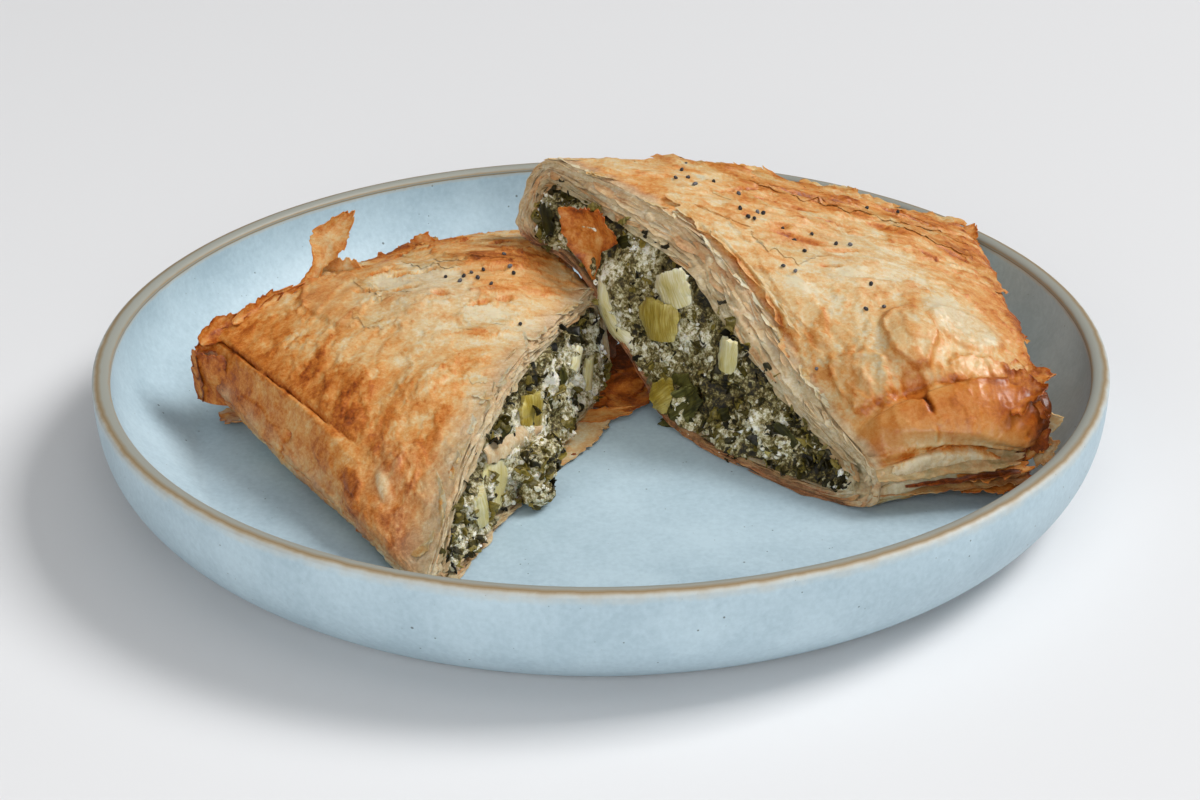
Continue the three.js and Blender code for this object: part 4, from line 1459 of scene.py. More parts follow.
        if form.left_handed:
            grid = grid[:, :, ::-1]
        bake = np.clip(0.26 + 0.3 * shade + 0.15 * torn, 0, 1)
        dough = np.clip(1.15 - 0.8 * shade**2 + 0 * bake, 0, 1)
        low = smooth(0.2, 0.02, lerp(ends[0][..., 2], ends[1][..., 2], across)) * self.base_crust
        bake, dough = np.clip(bake + 0.5 * low, 0, 1), dough * (1 - 0.9 * low)
        stain = np.clip(across - 0.5, 0, 1) + 0 * bake
        look = dict(zip(LOOK, (bake, dough, 0 * bake, 0 * bake + 0.1, stain)))
        return sheets(grid, SHRED_THICKNESS, look)

    def poppy_seeds(self) -> Surface:
        """Kidney-shaped seeds at their places, sunk a little into the crown.

        Returns:
            All the seeds.
        """
        random = default_rng(self.seed + 1)
        u, v = np.array(self.seeds).T
        points, normal, _ = self.at(u, v)
        sizes = SEED_RADIUS * np.array([1.15, 0.85, 0.8]) * random.uniform(0.85, 1.1, (len(u), 1))
        return lumps(points + normal * SEED_RADIUS * SEED_PROUD, sizes, 2, 0.16, random)

    def build(self, seed_finish: Material) -> Material:
        """Makes the crust, its leaves and its seeds.

        Args:
            seed_finish: the poppy seeds' material.

        Returns:
            The material of this half's filo.
        """
        name = self.side.value
        finish = FiloFinish(f"{name}_baked_filo", self.front_heading, self.back_heading).material()
        crust = self.surface().piece(f"{name}_crust_filo", "baked_filo", finish)
        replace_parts(crust, f"{name}_crust")
        large = self.leaf_sheets(self.leaves, self.seed + 200, LARGE_STEPS)
        small = self.leaf_sheets(self.scattered(), self.seed + 300, SMALL_STEPS)
        joined([large, small, self.band_shreds()]).piece(f"{name}_torn_leaves", "baked_filo", finish)
        standing = joined([leaf.surface() for leaf in self.standing])
        standing.piece(f"{name}_standing_leaves", "baked_filo", finish)
        self.poppy_seeds().piece(f"{name}_poppy_seeds", "baked_filo", seed_finish)
        return finish


SEED_RADIUS = 0.6
SEED_PROUD = 0.45  # share of its radius by which a seed's middle stands over the crown
LEAF_THICKNESS, SHRED_THICKNESS, SCRAP_THICKNESS = 0.1, 0.16, 0.25
LARGE_STEPS, SMALL_STEPS, SHRED_STEPS = (22, 18), (8, 12), (16, 6)  # a leaf's cells along and across
SLOPE = (0.9, 0.43)  # the pressed front's normal, level and up
# Edges of the torn upper sheets: the sizes of the noise along, across and up, its level, and how much browner
# the sheet is than what is under it.
SHEET_EDGES = (((38, 13, 14), -0.04, 0.1), ((22, 8, 9), 0.2, -0.1), ((14, 5, 7), 0.36, 0.12))
# What a torn opening does: its rise, bake, dough, gloss, soft, ragged, lip and line. Its bake darkens the
# hollow: browner sheets under it, and painted shade in it.
OPENING = (-0.9, 0.24, -0.5, 0.15, 0.25, 0.3, 0.35, 0.04)


# The left half's crust: orange at its outer corner, pale above and crumpled brown towards the front.
LEFT_CRUST = Crust(
    side=Side.LEFT, form=LEFT, seed=10, base_bake=0.3,
    gloss_spots=rows_of(Spot, (0.1, 0.9, 1, 0.2, 0.2, 0.5, 0.25)),
    stain_spots=rows_of(Spot, (0.03, 0, 0.5, 0.1, 0.08, 0.6, 0.5), (0.3, 0, 1, 0.4, 0.05, 0.5, 0.12)),
    band_fade=9, base_crust=0.2, shreds=110, front_heading=58, back_heading=6, turn=(0.22, 0.6),
    fold_rise=0.35, terrace_rise=0.2, roll=0, roll_line=(0.5, 0.5), press=0.9,
    grooves=(Groove((0.45, 0.3), 0.8, 0.7, 0.2),), slivers=(0.42, 0.95),
    spots=rows_of(
        Spot,
        (0.12, 0.9, 1, 0.1, 0.24, 0.3, 0.34), (0.1, 0.65, 1, 0.06, 0.16, 0.3, 0.14),
        (0.3, 0.78, 1, 0.08, 0.14, 0.5, 0.1), (0, 0.9, 0.7, 0.06, 0.14, 0.4, 0.2),
        (0.17, 0.4, 1, 0.1, 0.17, 0.5, 0.3), (0.1, 0.2, 1, 0.06, 0.1, 0.5, 0.22),
        (0.035, 0.08, 0.9, 0.05, 0.12, 0.4, 0.34), (0.2, 0.15, 1, 0.08, 0.1, 0.4, 0.14),
        (0.76, 0.42, 1, 0.12, 0.22, 0.5, 0.16), (0.7, 0.92, 1, 0.3, 0.2, 0.5, 0.2),
        # The first spot here browns the front side face, partly as painted shade of that face, which turns
        # from the light.
        (0, 0.5, 0.4, 0.07, 0.6, 0.5, 0.2), (0.97, 0.5, 1, 0.06, 0.4, 0.5, 0.16),
        (0.48, 0.5, 1, 0.17, 0.3, 0.5, -0.14), (0.5, 0.1, 1, 0.2, 0.06, 0.5, -0.06),
        (0, 0.95, 0.4, 0.08, 0.12, 0.5, 0.3), (0, 0.45, 0.15, 0.1, 0.4, 0.15, -0.04),
    ),
    dough_spots=rows_of(
        Spot,
        (0.5, 0.5, 1, 0.12, 0.2, 0.4, 0.3), (0, 0.4, 0.3, 0.1, 0.35, 0.3, 0.25),
        (0, 0.04, 0.4, 0.08, 0.08, 0.4, 0.6),
    ),
    crumple_spots=rows_of(
        Spot,
        (0.17, 0.38, 1, 0.12, 0.2, 0.5, 0.55), (0.08, 0.16, 0.9, 0.08, 0.16, 0.6, 0.6),
        (0, 0.3, 0.4, 0.08, 0.4, 0.5, 0.45),
    ),
    rib_spots=rows_of(
        Spot,
        (0.06, 0.08, 0.9, 0.1, 0.12, 0.7, 0.5), (0.12, 0.22, 1, 0.07, 0.08, 0.5, 0.45),
        (0, 0.3, 0.5, 0.06, 0.3, 0.5, 0.25), (0.45, 0.55, 1, 0.16, 0.22, 0.5, 0.25),
    ),
    patches=rows_of(
        Patch,
        (0.075, 0.21, 1, 2.2, 1.3, 6, 30, 0.7, -0.3, 0.6, 0.6, 0.45, 0.5),
        (0.03, 0.3, 0.8, 4, 2.4, 6, 20, 0.5, 0.1, 0, 0.3, 0.3, 0.45, 0.2, 0.1),
        (0.16, 0.45, 1, 9, 6, 12, 10, 0.35, 0.08, 0, 0, 0.06, 0.4, 0.2, 0.1),
        (0.34, 0.8, 1, 11, 10, 14, 60, 0.55, 0.02, 0.1, 0.2, 0.04, 0.35, 0.35, 0.08),
        (0.52, 0.56, 1, 17, 7, 12, -45, -0.3, -0.1, 0.25, 0, 0.05, 0.45, 0.2, 0.14),
        (0.72, 0.56, 1, 16, 5, 12, -50, 0.4, 0.08, 0, 0, 0.05, 0.45, 0.3, 0.12),
        (0.84, 0.3, 1, 12, 6, 12, -45, 0.25, 0.02, 0, 0, 0.05, 0.4, 0.2, 0.1),
        (0.6, 0.24, 1, 13, 6, 12, -20, 0.2, -0.06, 0.1, 0, 0.06, 0.4, 0.15, 0.08),
        (0.36, 0.3, 1, 12, 5, 12, 15, 0.25, -0.04, 0, 0, 0.06, 0.4, 0.15, 0.08),
        (0.045, 0.7, 0.6, 9, 8, 9, 0, 0.35, 0.05, 0, 0, 0.06, 0.35, 0.2, 0.12),
        (0, 0.3, 0.5, 9, 5, 6, 0, 0.4, 0.12, -0.1, 0, 0.06, 0.35, 0.2, 0.12),
        (0.02, 0.16, 0.3, 8, 3, 5, 0, 0.5, -0.08, 0.4, 0, 0.08, 0.35, 0.2, 0.12),
        (0.64, 0.345, 1, 8.5, 1, 9, -33, 0.4, 0.14, 0, 0.1, 0.25, 0.3, 0, 0),
        (0.404, 0.6, 1, 2.4, 1.3, 9, -20, 0.1, 0.24, 0, 0.4, 0.3, 0.3, 0, 0),
        (0.022, 0.43, 0.9, 3.4, 3, 5, 0, 0.3, 0.2, 0, 0, 0.3, 0.4, 0.1, 0.1),
        (0.03, 0.3, 0.95, 3, 2.4, 5, 0, -0.3, 0.16, 0, 0.2, 0.3, 0.4, 0.2, 0.1),
    ),
    openings=(
        (0.467, 0.608, -31, 5.2, 1.1), (0.475, 0.767, -19, 5, 1), (0.6, 0.868, 13, 5.5, 1.3),
        (0.58, 0.325, -24, 4, 0.9), (0.522, 0.475, -31, 3, 1.3), (0.655, 0.262, -31, 3.2, 0.9),
        (0.55, 0.64, -30, 5, 0.7), (0.7, 0.42, -33, 5, 0.7), (0.4, 0.7, -40, 3.5, 0.9),
        (0.8, 0.6, -25, 6, 0.7), (0.72, 0.75, -10, 6, 0.9), (0.5, 0.7, -25, 4, 0.7),
    ),
    cuts=(
        Cut((0.066, 0.96, 1), (0.075, 0.75, 1), 1.6, 0.6, 0.4),
        Cut((0.075, 0.75, 1), (0.09, 0.45, 1), 1.3, 0.55, 0.34),
        Cut((0.09, 0.45, 1), (0.1, 0.34, 1), 0.6, 0.5, 0.16),
        Cut((0.006, 0.575, 0.85), (0.004, 0.66, 0.25), 2, 0.9, 0.3),
    ),
    leaves=rows_of(
        Leaf,
        (0.68, 0.9, 80, 9, 14, 3, 0.5, 0.12), (0.58, 0.9, 60, 9, 13, 1.6, 0.4, 0.12),
        (0.5, 0.93, 80, 7, 14, 1.4, 0.6, 0.12), (0.85, 0.93, 80, 6, 14, 0.8, 0.4, 0.12),
        (0.45, 0.72, 200, 7, 16, 0.15, 0.05, 0.12), (0.62, 0.68, 215, 6, 22, 0.15, 0.05, 0.16),
        (0.7, 0.62, 230, 5, 24, 0.15, 0.05, 0.18), (0.76, 0.52, 225, 5, 22, 0.1, 0.05, 0.16),
        (0.86, 0.62, 235, 5, 22, 0.1, 0.05, 0.14), (0.36, 0.6, 205, 5, 12, 0.1, 0.05, 0),
    ),
    standing=(
        LooseLeaf((-79.5, 18.5, 36), (0.54, 0.46, 0.7), (-0.1, -1, 0.3), 27,
            (2.8, 1.7, 1.9, 4.4, 4.2, 2.4, 0.2), 1, 1.5, 0.36, 0.4, 0.6, 2,
            sway=(-0.4, -0.6, 0.2, 1.3, 1.2, 0.6, 0)),
        LooseLeaf((-90, 9, 34), (0.6, 0.5, 0.35), (-0.1, -1, 0.4), 9, (0.5, 1.2, 1, 0.2), 0.6, 0.5, 0.6, 0.4,
            0.5, 12),
        LooseLeaf((-69, 25.5, 32), (0, 0.1, 1), (-0.35, -1, 0.1), 11, (7.5, 8, 7, 4.6), 1, 0.5, 0.24, 0.35,
            0.8, 3, gloss=0.4),
        LooseLeaf((-50, 43, 36), (0.5, 0.3, 0.6), (-0.1, -1, 0.5), 7, (4.5, 3.6, 1.6), 0.6, 1, 0.4, 0.5, 0.5,
            5),
        LooseLeaf((-104, -0.5, 29.6), (0.77, 0.6, 0.3), (0.25, -0.75, 0.8), 17, (1.4, 2.8, 2.4, 1.6, 0.4),
            1.3, 0.5, 0.62, 0.5, 0.7, 4, gloss=0.4, sway=(0, 0.5, 0)),
        LooseLeaf((-105, -1, 27.6), (0.77, 0.6, 0.28), (0.1, -0.8, 0.7), 13, (1.4, 2.4, 2.2, 1.4, 0.4), 1,
            0.5, 0.8, 0.5, 0.8, 14, gloss=0.4),
        LooseLeaf((-96, 4, 33.4), (0.75, 0.62, 0.2), (0.1, -0.9, 0.5), 23, (0.6, 2, 1.4, 2.4, 1.2, 0.3), 0.8,
            1, 0.5, 0.6, 0.6, 24, gloss=0.4, sway=(0, 0.6, 0)),
        LooseLeaf((-101.5, -5, 14.5), (-0.06, 0.02, 1), (-0.6, -1, 0), 14.5, (5.4, 6, 6.2, 5.6), -1.2, 0,
            0.68, 0.2, 0.8, 34, gloss=0.5),
        LooseLeaf((-104.5, -2.5, 14.5), (-0.06, 0.05, 1), (-0.8, -0.6, 0), 13, (1.6, 1.9, 1.6, 1.2), 0.6, 0.5,
            0.82, 0.5, 0.8, 35),
    ),
    seeds=(
        (0.575, 0.533), (0.612, 0.475), (0.592, 0.467), (0.638, 0.467), (0.671, 0.442), (0.638, 0.425),
        (0.654, 0.358), (0.762, 0.458), (0.742, 0.375), (0.742, 0.342), (0.638, 0.117),
    ),
)


# The right half's crust: pale and translucent in the middle, blistered in front, with torn leaves behind.
RIGHT_CRUST = Crust(
    side=Side.RIGHT, form=RIGHT, seed=400, base_bake=0.28,
    gloss_spots=rows_of(Spot, (0.3, 0.5, 1, 0.2, 0.4, 0.5, 0.2), (0.03, 0.5, 0.95, 0.12, 0.6, 0.3, 1)),
    front_heading=95, back_heading=-12, turn=(0.3, 0.55), fold_rise=0.3, terrace_rise=0.18, roll=2.6,
    roll_line=(1, 0.42), press=0, slivers=(0.55, 0.97),
    spots=rows_of(
        Spot,
        (0.05, 0.5, 1, 0.075, 0.55, 0.22, 0.36), (0.05, 1, 0.8, 0.13, 0.24, 0.6, 0.52),
        (0.3, 1, 1, 0.5, 0.08, 0.5, 0.16), (0.3, 1.02, 0.9, 0.3, 0.1, 0.5, 0.26),
        (0.72, 0.98, 0.9, 0.26, 0.14, 0.5, 0.1), (0.84, 0.5, 1, 0.1, 0.5, 0.5, 0.08),
        (0.2, 0.22, 1, 0.1, 0.1, 0.5, 0.1), (0.5, 0.3, 1, 0.16, 0.12, 0.5, -0.1),
        (0.55, 0.6, 1, 0.18, 0.26, 0.5, -0.06), (0.3, 0.7, 1, 0.12, 0.14, 0.5, -0.12),
        (0.46, 0.05, 1, 0.14, 0.03, 0.5, 0.1), (0, 0.1, 0.58, 0.08, 0.3, 0.26, -0.42),
        (0, 0.5, 0.4, 0.08, 0.3, 0.2, -0.15), (0, 0.8, 0.25, 0.08, 0.22, 0.25, 0.26),
        (0.02, 0.3, 0, 0.12, 0.6, 0.12, 0.4),
    ),
    dough_spots=rows_of(
        Spot,
        (0.55, 0.45, 1, 0.2, 0.25, 0.4, 0.1), (0.3, 0.72, 1, 0.08, 0.1, 0.4, 0.25),
        (0, 0.12, 0.55, 0.1, 0.32, 0.28, 0.8), (0.02, 0.3, 0, 0.12, 0.6, 0.14, -1),
    ),
    crumple_spots=rows_of(
        Spot,
        (0.18, 0.23, 1, 0.06, 0.09, 0.5, 0.75), (0.12, 0.62, 1, 0.06, 0.2, 0.5, 0.5),
        (0.05, 0.9, 0.9, 0.07, 0.1, 0.5, 0.5), (0.85, 0.4, 1, 0.1, 0.4, 0.5, 0.35),
    ),
    rib_spots=rows_of(
        Spot,
        (0.19, 0.22, 1, 0.07, 0.1, 0.5, 0.4), (0.13, 0.7, 1, 0.05, 0.16, 0.5, 0.35),
        (0.5, 0.5, 1, 0.2, 0.3, 0.5, 0.2),
    ),
    patches=rows_of(
        Patch,
        (0.195, 0.2, 1, 7.6, 7, 12, 5, 1.3, 0.04, 0, 0.2, 0.12, 0.3, 0.5, 0.2),
        (0.245, 0.47, 1, 10, 5.8, 12, 13, 1.3, 0, 0.1, 0.1, 0.1, 0.15, 0.6, 0.24),
        (0.125, 0.36, 1, 5.5, 3.4, 12, 10, -1.1, 0.24, 0, 0, 0.14, 0.35, 0.1, 0.1),
        (0.27, 0.72, 1, 8, 8.5, 12, 0, 0.8, -0.1, 0.25, 0.1, 0.12, 0.15, 0.3, 0.2),
        (0.13, 0.68, 1, 6, 10, 12, 0, 0.9, 0.1, 0, 0.2, 0.12, 0.35, 0.4, 0.12),
        (0.52, 0.55, 1, 15, 12, 12, 20, -0.25, -0.06, 0.15, 0, 0.05, 0.3, 0.15, 0.14),
        (0.42, 0.2, 1, 16, 5, 12, 5, 0.25, -0.04, 0, 0, 0.06, 0.35, 0.15, 0.12),
        (0.66, 0.3, 1, 11, 6, 12, 30, 0.35, 0.08, 0, 0, 0.05, 0.4, 0.25, 0.1),
        (0.7, 0.8, 1, 14, 7, 12, 20, 0.4, 0.1, 0, 0, 0.05, 0.4, 0.3, 0.12),
        (0.42, 0.9, 1, 16, 5, 12, -5, 0.3, 0.1, 0, 0, 0.05, 0.4, 0.3, 0.12),
        (0.9, 0.15, 1, 9, 6, 12, 40, 0.3, -0.04, 0.1, 0, 0.05, 0.4, 0.25, 0.1),
        (0.46, 0.045, 1, 19, 2.2, 9, 0, -0.9, 0.2, 0, 0.2, 0.2, 0.3, 0, 0.05),
        (0.03, 1, 0.4, 12, 9, 11, 0, -3.2, 0.1, -0.5, 0.3, 0.5, 0.2, 0, 0),
        (0.9, 0.52, 1, 7, 12, 9, 10, 0.4, 0.12, 0, 0.1, 0.04, 0.5, 0.35, -0.1),
        (0.84, 0.66, 1, 9, 9, 9, 0, 0.35, 0.12, 0, 0.1, 0.04, 0.5, 0.3, -0.08),
        (0.78, 0.45, 1, 8, 8, 9, 30, 0.3, 0.1, 0, 0.1, 0.04, 0.5, 0.3, -0.06),
        (0.72, 0.92, 1, 13, 5, 9, 10, 0.4, 0.1, 0, 0.2, 0.04, 0.45, 0.3, -0.08),
        (0.9, 0.85, 1, 7, 9, 9, 0, 0.4, 0.12, 0, 0.1, 0.04, 0.5, 0.3, -0.08),
    ),
    openings=(
        (0.6, 0.385, 116, 4.5, 1.6), (0.565, 0.48, 80, 4, 1.4), (0.712, 0.685, 146, 4.6, 2),
        (0.645, 0.35, 60, 2.6, 1.4), (0.6, 0.767, 146, 3, 0.9), (0.76, 0.42, 110, 5, 1),
        (0.84, 0.56, 100, 6, 1), (0.86, 0.8, 120, 5, 1), (0.7, 0.55, 110, 4, 0.8), (0.66, 0.86, 140, 4, 0.9),
        (0.8, 0.34, 60, 5, 0.8), (0.5, 0.4, 100, 3, 0.6),
    ),
    stain_spots=rows_of(
        Spot,
        (0, 0.28, 0.24, 0.1, 0.34, 0.15, 0.9), (0.06, 0, 0.7, 0.14, 0.07, 0.6, 0.4),
        (0.4, 0, 1, 0.3, 0.03, 0.5, 0.15),
    ),
    grooves=(
        Groove((0.93, 0.33), 3.8, 1.4, 0.02, 0.3), Groove((0.6, 0.18), 2.2, 0.9, 0.1, 0.2),
        Groove((0.3, 0.1), 1.6, 0.8, 0.1, 0.2),
    ),
    cuts=(
        Cut((0.14, 0.08, 1), (0.125, 0.45, 1), 0.9, 1.1, 0.14),
        Cut((0.125, 0.45, 1), (0.1, 0.8, 1), 0.9, 1.1, 0.18),
        Cut((0.105, 0.37, 1), (0.03, 0.35, 1), 1.4, 0.9, 0.6),
        Cut((0.03, 0.35, 1), (0, 0.33, 0.8), 1.4, 0.9, 0.6),
        Cut((0.13, 0.72, 1), (0, 0.84, 0.7), 1.5, 1.4, 0.2),
        Cut((0.05, 0, 0.97), (0.005, 0.3, 0.79), 1.6, 0.7, 0.5),
        Cut((0.005, 0.3, 0.79), (0, 0.75, 0.5), 1.6, 0.7, 0.5),
    ),
    leaves=rows_of(
        Leaf,
        (0.88, 0.3, 20, 10, 20, 1.6, 0.4, 0.1), (0.93, 0.4, 10, 9, 12, 3, 0.6, 0.16),
        (0.94, 0.5, -10, 9, 9, 4.4, 0.8, 0.14), (0.92, 0.6, 20, 10, 12, 3.6, 0.8, 0.14),
        (0.93, 0.72, 0, 8, 12, 2.6, 0.6, 0.14), (0.93, 0.86, 30, 7, 14, 2, 0.6, 0.14),
        (0.88, 0.54, 200, 8, 20, 0.25, 0.1, 0.08), (0.86, 0.74, 190, 9, 24, 0.3, 0.1, 0.08),
        (0.76, 0.86, 200, 8, 18, 0.2, 0.1, 0.06), (0.6, 0.36, 210, 9, 16, 0.12, 0.05, 0.06),
        (0.46, 0.11, -90, 4, 34, 1.2, 0.2, -0.05, 0.1), (0.66, 0.12, -80, 4, 20, 0.8, 0.2, -0.02, 0.2),
        (0.6, 0.9, 80, 6, 18, 0.8, 0.3, 0.14), (0.36, 0.93, 80, 5, 16, 0.7, 0.3, 0.14),
    ),
    standing=(
        LooseLeaf((100, -39, 32), (1, -0.1, 0.1), (0, -0.5, 1), 10, (7, 6.8, 5, 2.4, 0.4), 1.6, -0.4, 0.72,
            0.35, 0.8, 41, gloss=0.6, sway=(0, 0.6, 1.6)),
        LooseLeaf((103, -41.2, 30.5), (0.3, -0.05, -0.95), (0.1, -0.9, 0.3), 14, (4, 4.6, 4.2, 2.8), 1.2,
            -0.5, 0.8, 0.35, 0.9, 46, gloss=0.6, sway=(0, 0.6, 0)),
        LooseLeaf((107, -36, 22), (1, 0.1, 0.3), (0, -1, 0.3), 8, (2.2, 3, 2.4, 0.6), 0.6, 0.4, 0.16, 0.5,
            0.6, 50),
        LooseLeaf((103, -38.5, 17), (0.9, -0.1, 0.25), (0, -0.8, 0.6), 9, (2.4, 3, 2.2, 0.8), 0.6, 0.4, 0.5,
            0.5, 0.7, 51),
        LooseLeaf((103, -30, 31.5), (1, 0.1, 0.1), (0, -0.3, 1), 10, (5, 5, 3.4, 0.8), 1, 0.6, 0.5, 0.45, 0.8,
            47, gloss=0.4, sway=(0, 0.5, 0)),
        LooseLeaf((67, -50.5, 16), (0.97, 0.16, 0.06), (0, -0.6, 0.8), 38, (1.6, 2.6, 2.2, 3, 2.4), 0.5, 0.3,
            0.36, 0.3, 0.7, 42, dough=0.4, stain=0.75),
        LooseLeaf((66, -50, 11.5), (0.97, 0.18, 0.02), (0, -0.45, 0.85), 41, (1.6, 2.6, 2.4, 3, 2.6), 0.5,
            0.3, 0.5, 0.4, 0.8, 43, dough=0.15, stain=0.4),
        LooseLeaf((74, -51.2, 13.6), (0.97, 0.17, 0.04), (0, -0.5, 0.85), 32, (0.3, 0.8, 0.7, 0.9, 0.5), 0.2,
            0.3, 1, 0.5, 0.6, 52),
        LooseLeaf((87, -46.8, 14.5), (0.97, 0.16, 0.05), (0, -0.5, 0.9), 20, (1.8, 3, 2.8, 2.6), 0.6, 0.5,
            0.52, 0.6, 0.9, 44, gloss=0.5),
        LooseLeaf((88, -46.5, 10.5), (0.97, 0.18, 0.02), (0, -0.4, 0.9), 21, (1.8, 3, 3.4, 2.8), 0.6, 0.5,
            0.62, 0.6, 0.9, 48, gloss=0.5),
        LooseLeaf((107, -38, 15), (0.8, -0.1, 0.5), (0, -0.6, 0.8), 8, (4, 4.5, 3.5, 1.5), 0.6, 0.8, 0.3, 0.6,
            0.8, 45, dough=0.3),
        LooseLeaf((98, 49, 35.5), (0.6, 0.75, 0.12), (-0.2, -0.3, 1), 11, (7, 6, 3.6, 0.4), 0.8, 0.8, 0.55,
            0.4, 0.6, 49, gloss=0.3, sway=(0, 0, -1)),
    ),
    seeds=(
        (0.921, 0.283), (0.883, 0.25), (0.821, 0.192), (0.833, 0.233), (0.796, 0.225), (0.825, 0.292),
        (0.775, 0.325), (0.696, 0.275), (0.688, 0.317), (0.654, 0.283), (0.66, 0.27), (0.688, 0.333),
        (0.642, 0.358), (0.596, 0.358), (0.629, 0.433), (0.596, 0.483), (0.596, 0.525), (0.554, 0.358),
        (0.496, 0.242), (0.479, 0.267), (0.425, 0.475), (0.85, 0.692), (0.846, 0.767), (0.25, 0.075),
        (0.346, 0.392), (0.346, 0.458),
    ),
)


# --- the filling
@dataclass(frozen=True)
class CurdSpot:
    """A patch of the filling that is mostly curd, or darker where the amount is less than nothing: mostly
    leaf, and in some spots the painted shade of a hollow.
    """

    along: float  # shares of the core's length and height
    up: float
    radius: float
    amount: float


@dataclass
class Filling:
    """Spinach and feta of one half: a rough core with the chopped bits that show at the cut set in it."""

    side: Side
    form: HalfForm
    seed: int
    curds: tuple[CurdSpot, ...]
    # Strips of leek and folded leaves: the root's shares of the core's length and height, how proud it
    # stands, its heading up from the cut's direction in degrees, and a loose leaf's values from its length.
    leeks: tuple[tuple, ...]
    leafs: tuple[tuple, ...]
    spilled: tuple[tuple[float, float, float, float], ...] = ()  # share of the cut, proud, height and radius
    clear: tuple[Triple, ...] = ()  # kept clear of bits: along, up and radius
    hanging: tuple[LooseLeaf, ...] = ()  # leek that hangs out of the cut
    curdy: float = 0.0  # how much more curd than usual
    sunk: float = 1.6  # how far the filling has sunk in under the crust
    scraps_count: int = 170
    crumbs_count: int = 700
    face_start: float = -0.004
    cells: Cells = (240, 10, 66)

    def surface(self) -> Surface:
        """The core, closed at the cut by a rough face.

        Returns:
            The core with its "curd".
        """
        form = self.form
        net = BoxNet(self.cells)
        box = form.core_box(net.shares, 0, self.face_start)
        nu, _, nw = self.cells
        i, j = np.meshgrid(np.arange(1, nu), np.arange(1, nw), indexing="ij")
        face = stacked(i / nu, 0, j / nw).reshape(-1, 3)
        face_box = form.core_box(face, 0, self.face_start)
        ids = np.zeros((nu + 1, nw + 1), int)
        ids[1:-1, 1:-1] = len(box) + np.arange(i.size).reshape(i.shape)
        rim_steps = np.rint(net.shares[net.rim] * np.array(self.cells)).astype(int)
        ids[rim_steps[:, 0], rim_steps[:, 2]] = net.rim
        faces = np.concatenate([net.faces, ids.ravel()[grid_faces(nu + 1, nw + 1)]])
        if form.left_handed:
            faces = faces[:, ::-1]
        places = form.point(np.concatenate([box, face_box]), True)
        shares = np.concatenate([net.shares, face])
        at_cut = np.zeros(len(places))
        at_cut[ids.ravel()] = 1
        inward = smooth(0, 0.05, shares[:, 0]) * smooth(1, 0.95, shares[:, 0])
        out = form.out_of_cut()
        sunk = self.sunk * smooth(0.78, 0.97, shares[:, 2])
        points = places + out * ((self.rough(places) * inward - sunk) * at_cut)[:, None]
        return Surface(points, faces, {"curd": self.curd(shares[:, 0], shares[:, 2], places)})

    def rough(self, places: Array) -> Array:
        """How far the cut filling stands proud: crumbs of three sizes."""
        coarse = 2.8 * clouds(places, 9, self.seed, 2) + 0.9 * clouds(places, 3, self.seed + 5, 2)
        return 0.5 + coarse + 0.4 * noise(places / 1.1, self.seed + 8)

    def curd(self, along: Array, up: Array, places: Array) -> Array:
        """How much of the filling is curd: noise, a bell curve for each spot, and less, so darker, under the
        crust, as painted shade of its overhang.

        Args:
            along: share of the core's length.
            up: share of its height.
            places: the same places in millimetres.

        Returns:
            One number for each place, more where there is more curd.
        """
        total = self.curdy + 0.26 * clouds(places, 7, self.seed + 9, 3)
        total += 0.12 * clouds(places, 9, self.seed, 2)
        uneven = 1 + 0.4 * noise(places / 3, self.seed + 11)
        for spot in self.curds:
            away = self.apart(along, up, spot.along, spot.up)
            total += spot.amount * bell(away * uneven, 1.3 * spot.radius)
        # Darker towards the top, under the crust: painted shade of its overhang.
        return total - 0.3 * smooth(0.84, 1.0, up)

    def apart(self, along: Array, up: Array, to_along: float, to_up: float) -> Array:
        """How far places on the cut are from another, in millimetres of the core's length and height."""
        return np.hypot((along - to_along) * self.form.length, (up - to_up) * self.form.thickness * 0.8)

    def on_face(self, along: Array, up: Array, proud: Array) -> Array:
        """Places on the rough face of the cut.

        Args:
            along: share of the core's length.
            up: share of its height.
            proud: how far they stand out of the face.

        Returns:
            x, y and z in millimetres.
        """
        shares = stacked(along, 0, up)
        places = self.form.point(self.form.core_box(shares, 0, self.face_start), True)
        out = self.form.out_of_cut()
        return places + out * (self.rough(places) + proud)[..., None]

    def strewn(self, count: int, random: Generator) -> tuple[Array, Array]:
        """Random places on the cut, without those that fall where it is kept clear.

        Args:
            count: how many are drawn.
            random: draws them.

        Returns:
            Shares of the core's length and of its height.
        """
        along, up = random.uniform(0.0, 1.0, count), random.uniform(-0.04, 1.1, count)
        keep = np.ones(count, bool)
        for *clear, radius in self.clear:
            keep &= self.apart(along, up, *clear) > radius
        return along[keep], up[keep]

    def scraps(self, places: Array, random: Generator) -> Surface:
        """Crumpled scraps of spinach: small grids bent by noise and turned at random.

        Args:
            places: their middles.
            random: draws their sizes, bends and turns.

        Returns:
            The closed sheets.
        """
        count = len(places)
        s, t = np.meshgrid(np.linspace(-1, 1, 7), np.linspace(-1, 1, 5), indexing="ij")
        size = 0.5 + 1.7 * random.uniform(0, 1, (count, 1, 1)) ** 2
        shift = random.uniform(0, 99, (count, 1, 1, 3))
        flat = stacked(s * size, t * size * 0.7 * (1 - 0.3 * s * s), 0)
        at = flat / 1.7 + shift
        bends = stacked(noise(at, 60), noise(at, 61), 1.6 * noise(flat / 2 + shift, 62))
        bent = flat + 0.85 * size[..., None] * bends
        crumpled = np.einsum("nij,nabj->nabi", turns(count, random), bent) + places[:, None, None]
        tone = np.broadcast_to(random.uniform(0.0, 0.95, (count, 1, 1)), crumpled.shape[:3])
        return sheets(crumpled, SCRAP_THICKNESS, {"tone": tone})

